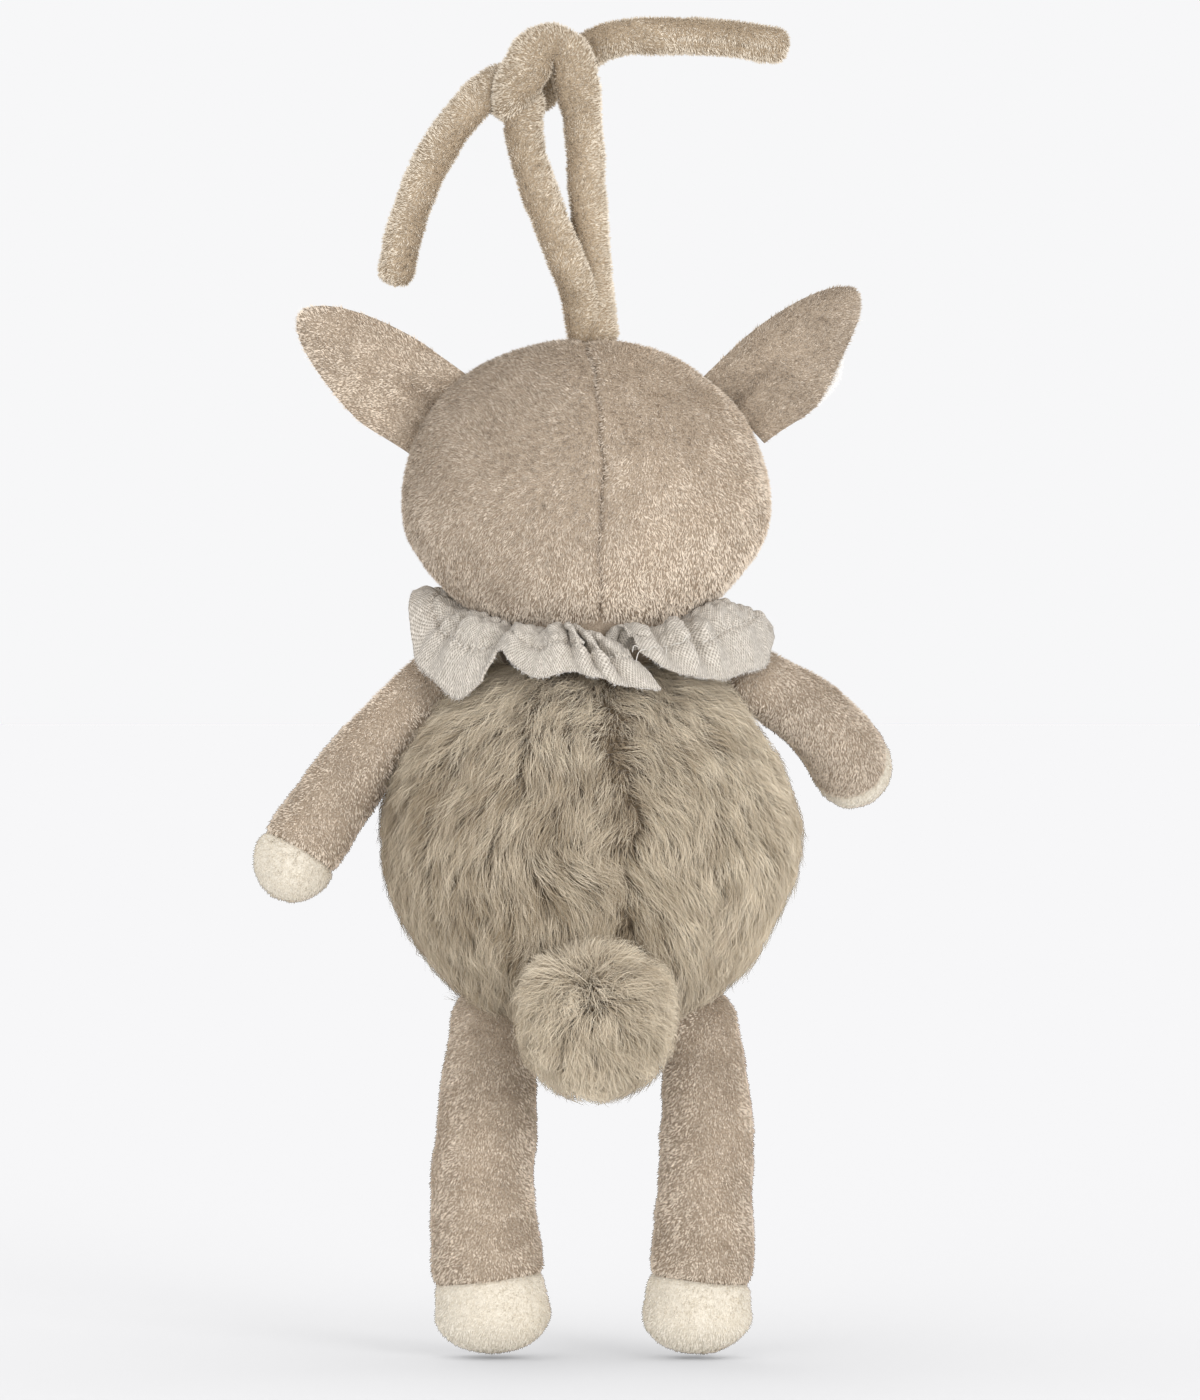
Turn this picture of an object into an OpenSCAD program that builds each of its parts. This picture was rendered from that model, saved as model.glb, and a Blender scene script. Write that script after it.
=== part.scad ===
/* [Head] */
// Width of the stuffed head across the cheeks
head_w = 104; // [100:1:106]
// Depth of the head, face to back
head_d = 86; // [84:1:88]
// Height of the head
head_h = 91; // [88:1:91]
// Length of an ear from its sewn edge to its tip
ear_len = 44; // [38:1:46]
// Width of an ear at its widest
ear_w = 29; // [24:1:30]

/* [Body] */
// Width of the round body under its pile
body_w = 111; // [108:1:112]
// Depth of the body
body_d = 97; // [94:1:98]
// Height of the body
body_h = 109; // [107:1:110]
// Radius of the ball that seats the neck in the head
neck_r = 28; // [27:0.5:28]
// Radius of the tail pompon
tail_r = 20.5; // [18:0.5:20.5]

/* [Limbs] */
// Length of an arm from the shoulder's centre to its tip
arm_len = 77; // [70:1:80]
// Length of an arm's pale hoof
arm_hoof = 15; // [12:1:18]
// Height of the hip above the soles
hip_z = 92; // [90:1:93]
// Height of the seam above a foot's pale hoof
leg_hoof = 21; // [16:1:24]

/* [Collar] */
// Outer radius of the ruffle at the sides
collar_r = 49; // [46:1:50]
// Thickness of the gathered cloth
collar_t = 2.2; // [2:0.1:2.6]
// Slit between the strip's two ends, at the centre back, in degrees
collar_slit = 5; // [3:1:8]

/* [Ties] */
// Diameter of a stuffed tie
tie_d = 10; // [9:0.5:10]

/* [Sewing] */
// Thickness of plush cloth
cloth = 2.2; // [2:0.1:2.4]
// Clearance between pieces that move past each other
gap = 0.4; // [0.35:0.05:0.5]

/* [Hidden] */
$fn = 72;
// Sides of the loose fillings, which have no true curves
soft_fn = 40;

// Everything below is placed with the soles at z = 0, the back to +Y and the
// toy's own left to +X, and is then moved to the frame of the hanging loop.
loop_x = 7.8;
loop_z = 342.2;

// Colours
velour = [0.68, 0.60, 0.52];
tie_velour = [0.74, 0.67, 0.57];
long_pile = [0.60, 0.54, 0.45];
ivory = [0.94, 0.91, 0.85];
muslin = [0.76, 0.74, 0.70];
brown = [0.30, 0.22, 0.17];
white = [0.96, 0.96, 0.95];

// Head
head_z = 240;
seam_x = -1.5;
side_seam_y = -7;
neck_z = 206;
tie_root_z = 287.8;
tie_root_x = [1.4, -2.4];
muzzle_at = [0, -37, 228];
muzzle_size = [19, 13, 14.5];
eye_at = [22, 240];

// Ears: centre of the sewn edge, then the angle that the ear stands at
ear_base_left = [46.0, 266.6];
ear_base_right = [-43.6, 268.6];
ear_angle_left = 37;
ear_angle_right = 43;
ear_panel = 2.5;
ear_arc_r = 47;
ear_wide_at = 12;

// Body
body_z = 147;
front_seam_y = -12;

// Tail: it sits where the body's surface faces down and back at 45 degrees
tail_x = -1.4;
tail_seat = [32.5, 106.5];
tail_sink = 7;
tail_gap = 1.4;

// Arms: shoulder, then how far the arm leans out of its swing, how far the
// swing's axis is turned to the front, and how far the arm is swung forward
shoulder_left = [43.8, 188.5];
shoulder_right = [-45.0, 188.5];
arm_lean = 36.4;
arm_yaw_left = 0;
arm_yaw_right = 12;
arm_forward_left = -8;
arm_forward_right = 64;
arm_top_r = 9.6;
arm_foot_r = 12;

// Legs
hip_left = 29.5;
hip_right = -31.2;
leg_top_r = [12.6, 11.8];
leg_foot_r = [16.0, 14.9];
foot_h = 11;

// Collar: its gathered edge, and the outer edge at the sides and at the back
collar_in_r = 27.2;
collar_in_z = 195.2;
collar_side_z = 203.5;
collar_back_z = 187.5;
collar_back_r = 45.5;

// Centre lines of the ties in the frame of the hanging loop, from the seam on
// the head, up to the knot and out to the free end
tie_left_route = [
    [-6.4, 0, -54.4], [-5, 1.5, -46], [-1.8, 3.2, -37], [2.8, 2.5, -25.5], [6, 1, -16.5],
    [8.8, 0, -8.5], [10.5, 0, -1.5], [10.7, 0, 4], [10.6, 0, 9], [12.4, 0.2, 13],
    [16.5, 0.6, 14.6], [21, 1, 12.4], [25.6, 1, 8], [30.8, 1, 1.4], [34.8, 1, -4.5],
    [39.2, 0.5, -13], [42.3, 0, -21], [44.8, 0, -29.5], [46.4, 0, -37.5]
];
tie_right_route = [
    [-10.2, 0, -54.4], [-9.4, -1.8, -46], [-8.7, -3, -37], [-7.8, -2.5, -27], [-7.2, -1, -16],
    [-6.5, 0, -5], [-5.6, 1, 7], [-4.8, 3, 15], [-3.2, 5, 21.5], [1.8, 7, 25],
    [7, 9, 24.2], [11, 8.6, 18.2], [13.8, 6, 12.5], [15, 0, 9], [12, -6.5, 10],
    [6.5, -9, 13], [0.5, -9, 17.5], [-4.5, -7.5, 22.2], [-10.5, -4.5, 25.8], [-17, -1.5, 27.4],
    [-26, 0, 27.9], [-38.5, 0, 27.7], [-49, 0, 26.8], [-58.8, 0, 25.3]
];
tie_sides = 10;
tie_steps = 2;

// ---------------------------------------------------------------- helpers

module from_soles() translate([-loop_x, 0, -loop_z]) children();

// Its poles lie along X, clear of the cuts made at the top and the bottom
module ellipsoid(size)
    scale(size) rotate([0, 90, 0]) rotate([0, 0, -90]) sphere(r = 1);

// A solid that is longer than anything it cuts
module beyond(from, to) translate(from) cube(to - from);

// A tapered sausage along -Z from the origin: a ball, a cone and a flat ball
module limb(top_r, foot_r, len, foot_h, in = 0) {
    sphere(r = top_r - in);
    translate([0, 0, foot_h - len])
        cylinder(h = len - foot_h, r1 = foot_r - in, r2 = top_r - in);
    translate([0, 0, foot_h - len]) scale([1, 1, (foot_h - in) / (foot_r - in)])
        sphere(r = foot_r - in);
}

// A point of a smooth curve through p1 and p2, at t from 0 to 1
function smooth_point(p0, p1, p2, p3, t) =
    0.5 * (2 * p1 + (p2 - p0) * t + (2 * p0 - 5 * p1 + 4 * p2 - p3) * t * t
        + (3 * p1 - p0 - 3 * p2 + p3) * t * t * t);

function smooth(route, steps) = let (last = len(route) - 1) [
    for (i = [0 : last - 1], s = [0 : steps - 1])
        smooth_point(route[max(i - 1, 0)], route[i], route[i + 1],
            route[min(i + 2, last)], s / steps),
    route[last]
];

function unit(v) = v / norm(v);

// Directions along a route, and a frame that turns as little as it can
function heading(path, i) =
    unit(path[min(i + 1, len(path) - 1)] - path[max(i - 1, 0)]);

function carried(side, along) = unit(side - along * (side * along));

function sides_of(path) = [
    for (i = 0, side = carried([0, 1, 0], heading(path, 0)); i < len(path);
        i = i + 1,
        side = i < len(path) ? carried(side, heading(path, i)) : side) side
];

// A round tube with blunt round ends, swept along a path
module tube(path, d, sides) {
    side = sides_of(path);
    last = len(path) - 1;
    // Each ring is [centre, radius, place on the path]
    ends = [for (a = [75, 45, 20]) [sin(a) * d / 2, cos(a) * d / 2]];
    rings = [
        for (e = ends) [path[0] - heading(path, 0) * e[0], e[1], 0],
        for (i = [0 : last]) [path[i], d / 2, i],
        for (k = [len(ends) - 1 : -1 : 0])
            [path[last] + heading(path, last) * ends[k][0], ends[k][1], last]
    ];
    points = [
        for (r = rings, k = [0 : sides - 1])
            let (
                a = 360 * k / sides,
                u = side[r[2]],
                v = cross(heading(path, r[2]), u)
            )
            r[0] + r[1] * (cos(a) * u + sin(a) * v)
    ];
    quads = [
        for (i = [0 : len(rings) - 2], k = [0 : sides - 1])
            let (j = (k + 1) % sides)
            [(i + 1) * sides + k, (i + 1) * sides + j, i * sides + j, i * sides + k]
    ];
    first_cap = [for (k = [0 : sides - 1]) k];
    last_cap = [for (k = [sides - 1 : -1 : 0]) (len(rings) - 1) * sides + k];
    polyhedron(points = points, faces = concat(quads, [first_cap, last_cap]));
}

// ------------------------------------------------------------------- ties

module tie_left() color(tie_velour)
    tube(smooth(tie_left_route, tie_steps), tie_d, tie_sides);

module tie_right() color(tie_velour)
    tube(smooth(tie_right_route, tie_steps), tie_d, tie_sides);

// ------------------------------------------------------------------- head

module head_form(in = 0)
    translate([0, 0, head_z])
        ellipsoid([head_w / 2 - in, head_d / 2 - in, head_h / 2 - in]);

// Room for the neck and for the ties' rounded ends
module head_hollows() {
    translate([0, 0, neck_z]) sphere(r = neck_r + gap);
    for (x = tie_root_x)
        translate([x, 0, tie_root_z]) sphere(r = tie_d / 2 + gap);
}

module head_shell() difference() {
    head_form();
    head_form(cloth);
    head_hollows();
}

module head_back_left() color(velour) from_soles() intersection() {
    head_shell();
    beyond([seam_x, side_seam_y, 150], [90, 90, 330]);
}

module head_back_right() color(velour) from_soles() intersection() {
    head_shell();
    beyond([-90, side_seam_y, 150], [seam_x, 90, 330]);
}

module head_face() color(velour) from_soles() intersection() {
    head_shell();
    beyond([-90, -90, 150], [90, side_seam_y, 330]);
}

module head_filling() color(white) from_soles() difference() {
    hull() head_form(cloth, $fn = soft_fn);
    head_hollows();
}

module muzzle_form(out = 0)
    translate(muzzle_at)
        ellipsoid([muzzle_size[0] + out, muzzle_size[1] + out, muzzle_size[2] + out]);

module muzzle() color(ivory) from_soles() difference() {
    muzzle_form();
    head_form();
}

module nose() color(brown) from_soles() intersection() {
    difference() {
        muzzle_form(1.2);
        muzzle_form();
        head_form();
    }
    translate([0, -30, muzzle_at[2] + 7]) rotate([90, 0, 0])
        cylinder(h = 30, r = 5.5);
}

// A closed eye: one curved line of stitches
module eye(side) color(brown) from_soles() intersection() {
    difference() {
        head_form(-0.9);
        head_form();
    }
    translate([side * eye_at[0], -20, eye_at[1]]) rotate([90, 0, 0])
        rotate_extrude(angle = 140, start = 200) translate([6.2, 0]) square([1.6, 30]);
}

module eye_left() eye(1);

module eye_right() eye(-1);

// ------------------------------------------------------------------- ears

// Outline of an ear, from its straight sewn edge at y = 0 up to its tip
module ear_outline() {
    shift = ear_arc_r - ear_w / 2;
    tip_r = 3.2;
    tip_y = ear_len - tip_r;
    intersection() {
        translate([-shift, ear_wide_at]) circle(r = ear_arc_r);
        translate([shift, ear_wide_at]) circle(r = ear_arc_r);
        translate([-ear_w, 0]) square([2 * ear_w, tip_y - 0.4]);
    }
    translate([0, tip_y]) circle(r = tip_r);
}

// One cloth panel of an ear: layer 0 is the back and -1 is the lining
module ear_panel_at(base, angle, side, layer)
    from_soles() translate([base[0], layer * ear_panel, base[1]])
        rotate([0, side * (90 - angle), 0]) rotate([90, 0, 0])
            mirror([0, 0, 1]) linear_extrude(ear_panel) ear_outline();

module ear_left_back() color(velour)
    ear_panel_at(ear_base_left, ear_angle_left, 1, 0);

module ear_left_lining() color(ivory)
    ear_panel_at(ear_base_left, ear_angle_left, 1, -1);

module ear_right_back() color(velour)
    ear_panel_at(ear_base_right, ear_angle_right, -1, 0);

module ear_right_lining() color(ivory)
    ear_panel_at(ear_base_right, ear_angle_right, -1, -1);

// ------------------------------------------------------------------- body

module belly_form(in = 0) translate([0, 0, body_z])
    ellipsoid([body_w / 2 - in, body_d / 2 - in, body_h / 2 - in]);

module neck_form(in = 0) translate([0, 0, neck_z]) sphere(r = neck_r - in);

// The hollow that an arm's top sweeps: a cone round the swing's axis
module shoulder_hollow(at, side, yaw) {
    reach = 30;
    start = (arm_top_r + 3 * gap) / cos(arm_lean);
    translate([at[0], 0, at[1]]) rotate([0, 0, yaw])
        translate([-side * start, 0, 0]) rotate([0, side * 90, 0])
            cylinder(h = reach, r1 = 0.01, r2 = reach / tan(arm_lean));
}

// The hollow that a leg's top sweeps as it swings up to the front
module hip_hollow(x, top_r) translate([x, 0, hip_z]) {
    sphere(r = top_r + gap);
    rotate([90, 0, 0]) cylinder(h = 24, r = top_r + 1 + gap);
}

module body_hollows() {
    shoulder_hollow(shoulder_left, 1, arm_yaw_left);
    shoulder_hollow(shoulder_right, -1, arm_yaw_right);
    hip_hollow(hip_left, leg_top_r[0]);
    hip_hollow(hip_right, leg_top_r[1]);
}

module body_shell() difference() {
    union() {
        belly_form();
        neck_form();
    }
    belly_form(cloth);
    neck_form(cloth);
    body_hollows();
}

module torso_back_left() color(long_pile) from_soles() intersection() {
    body_shell();
    beyond([seam_x, front_seam_y, 60], [90, 90, 250]);
}

module torso_back_right() color(long_pile) from_soles() intersection() {
    body_shell();
    beyond([-90, front_seam_y, 60], [seam_x, 90, 250]);
}

module torso_front() color(long_pile) from_soles() intersection() {
    body_shell();
    beyond([-90, -90, 60], [90, front_seam_y, 250]);
}

module torso_filling() color(white) from_soles() difference() {
    union() {
        hull() belly_form(cloth, $fn = soft_fn);
        hull() neck_form(cloth, $fn = soft_fn);
    }
    body_hollows();
}

// ----------------------------------------------------------------- collar

// Height and radius of the ruffle's outer edge: high over the shoulders and
// low at the front and the back
function edge_z(a) = collar_back_z + (collar_side_z - collar_back_z) * pow(cos(a), 2);
function edge_r(a) = collar_back_r + (collar_r - collar_back_r) * pow(cos(a), 2);
function ring_point(r, a, z) = [r * cos(a), r * sin(a), z];

module collar_ruffle() color(muslin) from_soles() {
    steps = 60;
    start = 90 + collar_slit / 2;
    turn = 360 - collar_slit;
    angles = [for (i = [0 : steps]) start + turn * i / steps];
    points = [
        for (a = angles)
            each [
                ring_point(collar_in_r, a, collar_in_z),
                ring_point(edge_r(a), a, edge_z(a)),
                ring_point(edge_r(a), a, edge_z(a) + collar_t),
                ring_point(collar_in_r, a, collar_in_z + collar_t)
            ]
    ];
    walls = [
        for (i = [0 : steps - 1], k = [0 : 3])
            let (j = (k + 1) % 4) [4 * i + k, 4 * i + 4 + k, 4 * i + 4 + j, 4 * i + j]
    ];
    polyhedron(points = points,
        faces = concat(walls, [[0, 1, 2, 3]],
            [[for (k = [3 : -1 : 0]) 4 * steps + k]]));
}

module collar_gathering_thread() color(muslin) from_soles()
    translate([0, 0, collar_in_z + collar_t / 2])
        rotate_extrude() translate([collar_in_r - 0.45, 0]) circle(r = 0.4);

// ------------------------------------------------------------------- arms

// An arm's place: [shoulder, side, yaw, forward]
arm_left_place = [shoulder_left, 1, arm_yaw_left, arm_forward_left];
arm_right_place = [shoulder_right, -1, arm_yaw_right, arm_forward_right];

module arm_at(place)
    from_soles() translate([place[0][0], 0, place[0][1]]) rotate([0, 0, place[2]])
        rotate([-place[3], 0, 0]) rotate([0, -place[1] * arm_lean, 0]) children();

module arm_form(in = 0) limb(arm_top_r, arm_foot_r, arm_len, arm_foot_r, in);

module arm_skin() difference() {
    arm_form();
    arm_form(cloth);
}

module arm_sleeve(place) color(velour)
    arm_at(place) intersection() {
        arm_skin();
        beyond([-40, -40, arm_hoof - arm_len], [40, 40, 40]);
    }

module arm_hoof_cover(place) color(ivory)
    arm_at(place) intersection() {
        arm_skin();
        beyond([-40, -40, -arm_len - 5], [40, 40, arm_hoof - arm_len]);
    }

module arm_filling(place) color(white)
    arm_at(place) arm_form(cloth);

module arm_left_sleeve() arm_sleeve(arm_left_place);

module arm_left_hoof() arm_hoof_cover(arm_left_place);

module arm_left_filling() arm_filling(arm_left_place);

module arm_right_sleeve() arm_sleeve(arm_right_place);

module arm_right_hoof() arm_hoof_cover(arm_right_place);

module arm_right_filling() arm_filling(arm_right_place);

// ------------------------------------------------------------------- legs

module leg_form(k, in = 0)
    limb(leg_top_r[k], leg_foot_r[k], hip_z, foot_h, in);

module leg_at(x) from_soles() translate([x, 0, hip_z]) children();

module leg_skin(k) difference() {
    leg_form(k);
    leg_form(k, cloth);
}

module leg_cover(x, k) color(velour) leg_at(x) intersection() {
    leg_skin(k);
    beyond([-40, -40, leg_hoof - hip_z], [40, 40, 40]);
}

module leg_hoof_cover(x, k) color(ivory) leg_at(x) intersection() {
    leg_skin(k);
    beyond([-40, -40, -hip_z - 5], [40, 40, leg_hoof - hip_z]);
}

module leg_filling(x, k) color(white) leg_at(x) leg_form(k, cloth);

module leg_left_cover() leg_cover(hip_left, 0);

module leg_left_hoof() leg_hoof_cover(hip_left, 0);

module leg_left_filling() leg_filling(hip_left, 0);

module leg_right_cover() leg_cover(hip_right, 1);

module leg_right_hoof() leg_hoof_cover(hip_right, 1);

module leg_right_filling() leg_filling(hip_right, 1);

// ------------------------------------------------------------------- tail

// The pompon's flat base faces the body, and its axis points down and back
module tail_at() from_soles() translate([tail_x, tail_seat[0], tail_seat[1]])
    rotate([-135, 0, 0]) translate([0, 0, tail_gap]) children();

module tail_form(in = 0) intersection() {
    translate([0, 0, tail_r - tail_sink]) sphere(r = tail_r - in);
    beyond([-40, -40, in], [40, 40, 60]);
}

module tail_cover() color(long_pile) tail_at() difference() {
    tail_form();
    tail_form(cloth);
}

module tail_filling() color(white) tail_at() tail_form(cloth);

// ------------------------------------------------------------------ nodes

tie_left();
tie_right();
head_back_left();
head_back_right();
head_face();
head_filling();
muzzle();
nose();
eye_left();
eye_right();
ear_left_back();
ear_left_lining();
ear_right_back();
ear_right_lining();
torso_back_left();
torso_back_right();
torso_front();
torso_filling();
collar_ruffle();
collar_gathering_thread();
arm_left_sleeve();
arm_left_hoof();
arm_left_filling();
arm_right_sleeve();
arm_right_hoof();
arm_right_filling();
leg_left_cover();
leg_left_hoof();
leg_left_filling();
leg_right_cover();
leg_right_hoof();
leg_right_filling();
tail_cover();
tail_filling();
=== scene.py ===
import math

import bpy
import numpy as np
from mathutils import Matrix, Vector
from mathutils.kdtree import KDTree


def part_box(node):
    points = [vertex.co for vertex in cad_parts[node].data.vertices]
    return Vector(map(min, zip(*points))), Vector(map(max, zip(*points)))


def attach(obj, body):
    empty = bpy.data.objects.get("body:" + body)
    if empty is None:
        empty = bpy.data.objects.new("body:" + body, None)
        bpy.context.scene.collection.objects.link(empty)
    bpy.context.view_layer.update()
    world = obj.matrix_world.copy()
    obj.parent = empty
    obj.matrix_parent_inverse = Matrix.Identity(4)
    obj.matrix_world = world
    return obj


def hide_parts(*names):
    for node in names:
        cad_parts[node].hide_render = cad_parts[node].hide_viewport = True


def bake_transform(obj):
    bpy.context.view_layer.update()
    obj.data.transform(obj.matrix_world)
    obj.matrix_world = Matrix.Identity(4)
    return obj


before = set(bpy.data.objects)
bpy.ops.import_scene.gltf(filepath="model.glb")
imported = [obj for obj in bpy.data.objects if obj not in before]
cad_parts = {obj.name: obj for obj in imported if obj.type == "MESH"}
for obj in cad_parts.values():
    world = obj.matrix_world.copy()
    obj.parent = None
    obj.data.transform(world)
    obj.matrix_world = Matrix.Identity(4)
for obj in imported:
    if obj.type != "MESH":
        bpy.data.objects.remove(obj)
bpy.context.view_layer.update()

# Shapes are worked out in millimetres in the toy's own frame: soles at z = 0, the
# back to +Y, the toy's own left to +X. SHIFT moves them to the row frame.
MM = 0.001
face_low, face_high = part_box("head_face")
sole_z = min(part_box("leg_left_hoof")[0].z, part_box("leg_right_hoof")[0].z)
SHIFT = np.array([(face_low.x + face_high.x) / 2, 0.0, sole_z]) / MM


# ---- numbers

def vec(*values):
    return np.array(values, float)


def unit(v):
    return v / np.maximum(np.linalg.norm(v, axis=-1, keepdims=True), 1e-9)


def bell(distance, width):
    return np.exp(-(distance / width) ** 2)


def ramp(value, start, end):
    """0 before start, 1 after end, smooth in between."""
    t = np.clip((value - start) / (end - start), 0, 1)
    return t * t * (3 - 2 * t)


def between(value, keys):
    """Smooth curve through keys, a list of (place, height)."""
    places, heights = np.array(keys, float).T
    slopes = np.gradient(heights, places)
    i = np.clip(np.searchsorted(places, value) - 1, 0, len(places) - 2)
    step = places[i + 1] - places[i]
    t = np.clip((value - places[i]) / step, 0, 1)
    return (
        heights[i] * (1 + 2 * t) * (1 - t) ** 2
        + slopes[i] * step * t * (1 - t) ** 2
        + heights[i + 1] * t * t * (3 - 2 * t)
        + slopes[i + 1] * step * t * t * (t - 1)
    )


def waves(points, size, seed, count=12):
    """Smooth random field over space, mostly between -1 and 1, of waves size long."""
    rng = np.random.default_rng(seed)
    turns = unit(rng.normal(size=(count, 3))) * rng.uniform(0.6, 1.6, (count, 1))
    phases = rng.uniform(0, 2 * np.pi, count)
    return np.cos(points @ turns.T * (2 * np.pi / size) + phases).sum(-1) / math.sqrt(2 * count)


def full_turn(count):
    """Angles all round a circle, in radians."""
    return np.linspace(0, 2 * np.pi, count, endpoint=False)


def dome(cols, rows, start, end):
    """A grid all round a ball: azimuth, and polar angle from start to end degrees."""
    azimuth = np.radians(np.linspace(0, 360, cols, endpoint=False))
    return np.meshgrid(azimuth, np.radians(np.linspace(start, end, rows)))


def distances(line):
    """How far along a line each of its points is."""
    return np.concatenate([[0], np.cumsum(np.linalg.norm(np.diff(line, axis=0), axis=1))])


def at_distances(line, marks):
    """The points of a line that lie at the distances marks along it."""
    along = distances(line)
    return np.stack([np.interp(marks, along, axis) for axis in line.T], -1)


# ---- meshes

def add_object(name, data):
    made = bpy.data.objects.new(name, data)
    bpy.context.scene.collection.objects.link(made)
    return made


def make_mesh(name, points, faces, material, fields=None):
    """A mesh from points in mm and a list of face arrays, each (count, corners)."""
    mesh = bpy.data.meshes.new(name)
    loops = np.concatenate([f.ravel() for f in faces]).astype(np.int32)
    sizes = np.concatenate([np.full(len(f), f.shape[1]) for f in faces])
    starts = np.concatenate([[0], np.cumsum(sizes)[:-1]]).astype(np.int32)
    mesh.vertices.add(len(points))
    mesh.vertices.foreach_set("co", ((points + SHIFT) * MM).astype(np.float32).ravel())
    mesh.loops.add(len(loops))
    mesh.loops.foreach_set("vertex_index", loops)
    mesh.polygons.add(len(sizes))
    mesh.polygons.foreach_set("loop_start", starts)
    mesh.polygons.foreach_set("use_smooth", np.ones(len(sizes), bool))
    mesh.update(calc_edges=True)
    for field, values in (fields or {}).items():
        attribute = mesh.attributes.new(field, "FLOAT", "POINT")
        attribute.data.foreach_set("value", values.astype(np.float32))
    mesh.materials.append(material)
    return add_object(name, mesh)


def grid_faces(rows, cols, closed):
    """Quads of a grid; closed joins the last column to the first."""
    r = np.arange(rows - 1)[:, None] * cols
    c = np.arange(cols if closed else cols - 1)[None, :]
    d = (c + 1) % cols
    return np.stack([r + c, r + d, r + cols + d, r + cols + c], -1).reshape(-1, 4)


class Patch:
    """A surface as a grid of points (rows, cols, 3). A closed one goes all round."""

    def __init__(self, points, closed=False, flip=False):
        self.closed = closed
        self.points = np.concatenate([points, points[:, :1]], 1) if closed else points
        self.flip = flip
        down = np.gradient(self.points, axis=0)
        across = np.gradient(self.points, axis=1)
        if closed:
            around = (self.points[:, 1] - self.points[:, -2]) / 2
            across[:, 0] = across[:, -1] = around
        self.down, self.across = unit(down), unit(across)
        normal = unit(np.cross(across, down))
        self.normal = -normal if flip else normal

    def mesh(self, name, material, thick=0.0, fields=None, capped=False):
        """The surface as an object; thick gives it a cloth's thickness inwards, and
        capped closes its two ends."""
        points = self.points[:, :-1] if self.closed else self.points
        rows, cols = points.shape[:2]
        quads = grid_faces(rows, cols, self.closed)
        faces = [quads[:, ::-1] if self.flip else quads]
        if capped:
            ring = np.arange(cols)[None, :]
            faces += [ring[:, ::-1], (rows - 1) * cols + ring]
        if fields:
            fields = {key: values.ravel() for key, values in fields.items()}
        made = make_mesh(name, points.reshape(-1, 3), faces, material, fields)
        if thick:
            cloth = made.modifiers.new("Cloth thickness", "SOLIDIFY")
            cloth.thickness = thick * MM
            cloth.offset = -1
        return made

    def scatter(self, per_mm2, seed, weight=None):
        """Random places on the surface: points, normals, and the ways down and across there."""
        rng = np.random.default_rng(seed)
        g = self.points
        a, b, c, d = g[:-1, :-1], g[:-1, 1:], g[1:, :-1], g[1:, 1:]
        area = np.linalg.norm(np.cross(b - a, c - a), axis=-1) / 2
        area += np.linalg.norm(np.cross(c - d, b - d), axis=-1) / 2
        if weight is not None:
            area = area * weight((a + b + c + d) / 4)
        count = int(area.sum() * per_mm2)
        cell = rng.choice(area.size, count, p=area.ravel() / area.sum())
        i, j = np.unravel_index(cell, area.shape)
        u, v = rng.random((2, count, 1))

        def mix(values):
            top = values[i, j] * (1 - u) + values[i, j + 1] * u
            low = values[i + 1, j] * (1 - u) + values[i + 1, j + 1] * u
            return top * (1 - v) + low * v

        normal = unit(mix(self.normal))
        return mix(g), normal, unit(mix(self.down)), unit(mix(self.across))


def strands(name, curves, facing, width, tone, material, taper=0.9):
    """Pile as flat blades. curves is (count, steps, 3); the last step is the point."""
    count, steps = curves.shape[:2]
    along = unit(np.gradient(curves, axis=1))
    side = unit(np.cross(along, facing[:, None, :]))
    rungs = steps - 1
    share = 1 - taper * np.arange(rungs) / rungs
    half = side[:, :rungs] * (width[:, None] * share[None, :] / 2)[..., None]
    pairs = np.stack([curves[:, :rungs] - half, curves[:, :rungs] + half], 2)
    pairs = pairs.reshape(count, rungs * 2, 3)
    points = np.concatenate([pairs, curves[:, -1:]], 1)
    each = rungs * 2 + 1
    base = np.arange(count)[:, None] * each
    faces = [base + np.array([[2 * rungs - 2, 2 * rungs - 1, 2 * rungs]])]
    for k in range(rungs - 1):
        faces.append(base + np.array([[2 * k, 2 * k + 1, 2 * k + 3, 2 * k + 2]]))
    tip = np.concatenate([np.repeat(np.arange(rungs) / rungs, 2), [1.0]])
    fields = {"tip": np.tile(tip, count), "tone": np.repeat(tone, each)}
    return make_mesh(name, points.reshape(-1, 3), faces, material, fields)


def fibres(root, way, reach, bend):
    """Short curved strands: reach mm from root along way, with a bend at the point."""
    return np.stack([root, root + way * reach * 0.6, root + way * reach + bend], 1)


def turned(direction, axis, angle):
    """Directions turned about their axes by an angle in radians each."""
    c, s = np.cos(angle)[:, None], np.sin(angle)[:, None]
    return direction * c + np.cross(axis, direction) * s


def in_surface(direction, normal):
    return unit(direction - normal * (direction * normal).sum(-1, keepdims=True))


# ---- materials

def node(tree, kind, **settings):
    made = tree.nodes.new(kind)
    for key, value in settings.items():
        setattr(made, key, value)
    return made


def link(tree, value, socket):
    """Feeds a socket from another one, or sets it to a number."""
    if isinstance(value, bpy.types.NodeSocket):
        tree.links.new(value, socket)
    else:
        socket.default_value = value


def math_node(tree, operation, *values):
    made = node(tree, "ShaderNodeMath", operation=operation)
    for value, socket in zip(values, made.inputs):
        link(tree, value, socket)
    return made.outputs[0]


def ramp_node(tree, source, stops):
    """Colour ramp through stops, a list of (place, colour)."""
    made = node(tree, "ShaderNodeValToRGB")
    elements = made.color_ramp.elements
    while len(elements) < len(stops):
        elements.new(0.5)
    for element, (place, colour) in zip(elements, stops):
        element.position = place
        element.color = (*colour, 1)
    tree.links.new(source, made.inputs[0])
    return made.outputs[0]


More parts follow.
